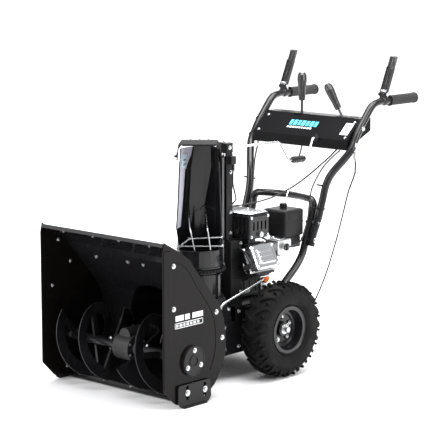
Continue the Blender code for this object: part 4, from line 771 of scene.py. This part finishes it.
for side, s in (("left", 1), ("right", -1)):
    bm = bmesh.new()
    for k in range(17):
        b_lathe(bm, "Y", P(s * 0.235, 1.2320 + 0.0080 * k, 0.9020), [(0.0168, 0), (0.0181, 0.0010), (0.0181, 0.0034), (0.0168, 0.0044)], 48)
    b_lathe(bm, "Y", P(s * 0.235, 1.2225, 0.9020), [(0.0166, 0), (0.0196, 0.0008), (0.0196, 0.0050), (0.0166, 0.0062)], 48)
    b_lathe(bm, "Y", P(s * 0.235, 1.3680, 0.9020), [(0.0166, 0), (0.0196, 0.0010), (0.0190, 0.0070), (0.0166, 0.0090)], 48)
    obj("grip_ribs_" + side, bm, RUBBER, "frame")
    # clutch lever: rolled lip at its end, rib, torsion spring
    ang = math.radians(66)
    D = Vector((0, math.cos(ang), math.sin(ang)))
    U = Vector((0, -math.sin(ang), math.cos(ang)))
    piv = P(s * 0.235, 1.190, 0.927)
    R = Matrix.Rotation(ang, 4, "X")
    bm = bmesh.new()
    b_cyl(bm, "X", piv + D * 0.1400, 0.0042, 0.0310, 20, bevel=0.001)
    b_box(bm, piv + D * 0.0850 + U * 0.0030, (0.0050, 0.1040, 0.0026), 0.0009, rot=R)
    b_box(bm, piv + D * 0.1180 - U * 0.0010, (0.0326, 0.0500, 0.0070), 0.0028, rot=R, seg=3)
    obj("lever_lip_" + side, bm, KNOB, "clutch_" + side)
    bm = bmesh.new()
    coil = []
    for i in range(70):
        a = 2 * math.pi * 5 * i / 69
        coil.append(piv + Vector((s * (-0.0080 + 0.0160 * i / 69), 0.0050 * math.cos(a), 0.0050 * math.sin(a) + 0.0112)))
    b_tube(bm, coil, 0.0010, 6)
    obj("lever_spring_" + side, bm, ZINC, "frame")
    # cable end: adjuster nut and barrel under the panel
    bm = bmesh.new()
    top = P(s * 0.2545, 1.0035, 0.7215) if s > 0 else P(-0.2000, 1.0075, 0.7360)
    b_cyl(bm, (0.0, 0.12, 1), top + Vector((0, 0, 0.006)), 0.0046, 0.0260, 6)
    b_cyl(bm, (0.0, 0.12, 1), top + Vector((0, -0.001, -0.010)), 0.0036, 0.0160, 16)
    obj("cable_adjuster_" + side, bm, ZINC, "frame")
# second control cable, down the near tube
bm = bmesh.new()
b_tube(bm, smooth_pts([P(0.2000, 0.9880, 0.7400), P(0.1950, 0.9560, 0.7220), P(0.1830, 0.9200, 0.6900), P(0.1760, 0.8930, 0.6550), P(0.1720, 0.8680, 0.6150), P(0.1700, 0.8580, 0.5700), P(0.1660, 0.8500, 0.5000), P(0.1600, 0.8200, 0.4300), P(0.1620, 0.7600, 0.4200)], 0.012), 0.0026, 10)
obj("throttle_cable", bm, RUBBER, "frame")
bm = bmesh.new()
for p, ax in ((P(0.1790, 0.9180, 0.6200), (0, 0.25, 1)), (P(0.1740, 0.9080, 0.5400), (0, 0.25, 1)), (P(-0.1900, 0.9480, 0.6100), (0, 0.25, 1))):
    b_lathe(bm, ax, p, [(0.0205, -0.0022), (0.0220, -0.0022), (0.0220, 0.0022), (0.0205, 0.0022)], 32)
obj("cable_ties", bm, PLASTIC, "frame")

# ---------------------------------------------------------------- control panel
SA = math.atan2(0.846 - 0.7755, 1.0785 - 1.0)
SR = Matrix.Rotation(SA, 4, "X")
SN = Vector((0, -math.sin(SA), math.cos(SA)))
SD = Vector((0, math.cos(SA), math.sin(SA)))


def face(x, t, h):
    """On the sloping front face: x across, t metres up from its lower edge, h proud of it."""
    return P(x, 1.0, 0.7755) + SD * t + SN * h


bm = bmesh.new()
x = -0.078
for w in (0.013, 0.016, 0.011, 0.017, 0.013, 0.017, 0.013):
    b_box(bm, face(x + w / 2, 0.060, 0.0004), (w, 0.0250, 0.0006), rot=SR)
    x += w + 0.0048
obj("panel_print_cyan", bm, CYAN, "frame")
bm = bmesh.new()
x = -0.080
for w in (0.008, 0.011, 0.007, 0.012, 0.009, 0.008, 0.011, 0.009, 0.008):
    b_box(bm, face(x + w / 2, 0.038, 0.0004), (w, 0.0075, 0.0006), rot=SR)
    x += w + 0.0038
b_box(bm, face(0.190, 0.052, 0.0004), (0.036, 0.0560, 0.0006), rot=SR)
obj("panel_print_white", bm, WHITE, "frame")
bm = bmesh.new()
for i, (w, t) in enumerate(((0.026, 0.070), (0.026, 0.058), (0.026, 0.046), (0.018, 0.034))):
    b_box(bm, face(0.177 + w / 2, t, 0.0010), (w, 0.0060, 0.0005), rot=SR)
obj("panel_print_grey", bm, GREY, "frame")
bm = bmesh.new()
b_box(bm, P(-0.070, 1.1000, 0.8466), (0.0340, 0.0560, 0.0020), 0.0007)
b_box(bm, P(0.1395, 1.1000, 0.8466), (0.0900, 0.0340, 0.0020), 0.0007)
obj("slot_frames", bm, PLASTIC, "frame")
bm = bmesh.new()
b_box(bm, P(-0.070, 1.1000, 0.8476), (0.0130, 0.0380, 0.0012))
b_box(bm, P(0.1395, 1.1000, 0.8476), (0.0690, 0.0130, 0.0012))
obj("slot_brushes", bm, RUBBER, "frame")
bm = bmesh.new()
for xx in (-0.0500,):
    for i in range(5):
        b_box(bm, P(xx + 0.004, 1.0850 + 0.0075 * i, 0.8478), (0.0060, 0.0018, 0.0004))
obj("slot_marks", bm, WHITE, "frame")
bolts("panel_screws", "frame", [(face(xx, 0.0860, 0.0002), tuple(SN)) for xx in (-0.200, 0.205)] + [(face(xx, 0.0120, 0.0002), tuple(SN)) for xx in (-0.200, 0.205)], 0.0036, 0.0022)
bm = bmesh.new()
for k in range(3):
    b_lathe(bm, "Z", P(-0.070, 1.100, 0.9000 + 0.0050 * k), [(0.0118, 0), (0.0130, 0.0008), (0.0130, 0.0024), (0.0118, 0.0032)], 32)
obj("speed_knob_rings", bm, KNOB, "speed_control")
DPV, DDV = P(0.148, 1.100, 0.800), Vector((-0.5390, 0, 0.8423)).normalized()
bm = bmesh.new()
for k in range(3):
    b_lathe(bm, tuple(DDV), DPV + DDV * (0.0950 + 0.0050 * k), [(0.0118, 0), (0.0130, 0.0008), (0.0130, 0.0024), (0.0118, 0.0032)], 32)
obj("deflector_knob_rings", bm, KNOB, "deflector_control")

# ---------------------------------------------------------------- stage, light, camera
bpy.context.scene.render.engine = "CYCLES"
w = bpy.data.worlds.new("studio")
bpy.context.scene.world = w
w.use_nodes = True
bg = w.node_tree.nodes["Background"]
bg.inputs["Color"].default_value = (1, 1, 1, 1)
bg.inputs["Strength"].default_value = 0.55

fm = bpy.data.materials.new("stage_white")
fm.use_nodes = True
fb = fm.node_tree.nodes["Principled BSDF"]
fb.inputs["Base Color"].default_value = (0.93, 0.93, 0.94, 1)
fb.inputs["Roughness"].default_value = 0.9
# one flat floor, so that nothing stands behind the object from any side: it brightens with distance
nt = fm.node_tree
geo = nt.nodes.new("ShaderNodeNewGeometry")
far = nt.nodes.new("ShaderNodeVectorMath")
far.operation = "LENGTH"
mr = nt.nodes.new("ShaderNodeMapRange")
mr.interpolation_type = "SMOOTHSTEP"
mr.inputs["From Min"].default_value, mr.inputs["From Max"].default_value = 0.9, 3.6
mr.inputs["To Min"].default_value, mr.inputs["To Max"].default_value = 0.0, 0.62
nt.links.new(geo.outputs["Position"], far.inputs[0])
nt.links.new(far.outputs["Value"], mr.inputs["Value"])
nt.links.new(mr.outputs["Result"], fb.inputs["Emission Strength"])
fb.inputs["Emission Color"].default_value = (1, 1, 1, 1)
bm = bmesh.new()
bm.faces.new([bm.verts.new((x, y, -0.0005)) for x, y in ((-90, -90), (90, -90), (90, 90), (-90, 90))])
me = bpy.data.meshes.new("backdrop")
bm.to_mesh(me)
bm.free()
for f in me.polygons:
    f.use_smooth = True
me.materials.append(fm)
back = bpy.data.objects.new("backdrop", me)
bpy.context.scene.collection.objects.link(back)


def area(name, at, aim, size, power, size_y=None):
    l = bpy.data.lights.new(name, "AREA")
    l.shape = "RECTANGLE"
    l.size, l.size_y, l.energy = size, size_y or size, power
    o = bpy.data.objects.new(name, l)
    o.location = at
    o.rotation_euler = (Vector(aim) - Vector(at)).to_track_quat("-Z", "Y").to_euler()
    bpy.context.scene.collection.objects.link(o)
    return o


lights = [
    area("top", (0.3, -0.6, 3.4), (0, 0, 0.3), 2.6, 110),
    area("key_left", (-1.2, -3.4, 2.2), (0, -0.2, 0.4), 1.6, 75, 2.0),
    area("key_right", (3.4, 0.6, 2.0), (0, 0, 0.45), 1.4, 75, 2.2),
    area("rim_back", (-2.2, 2.6, 2.6), (0, 0, 0.6), 1.6, 70),
    area("wall", (0.5, 1.0, 3.2), (-1.5, 4.0, 1.0), 3.0, 160),
]

cam = bpy.data.cameras.new("camera")
cam.lens, cam.sensor_width = 150.09, 36.0
co = bpy.data.objects.new("camera", cam)
co.location = (4.2275, -4.0515 + OY, 1.5783)
co.rotation_euler = (Vector((0.0637, 0.5081 + OY, 0.5351)) - co.location).to_track_quat("-Z", "Y").to_euler()
bpy.context.scene.collection.objects.link(co)
bpy.context.scene.camera = co
sc = bpy.context.scene
sc.render.resolution_x = sc.render.resolution_y = 1200
sc.cycles.samples = 160
sc.cycles.use_denoising = True
sc.view_settings.view_transform = "Standard"
sc.view_settings.look = "None"
sc.view_settings.exposure = 0.0
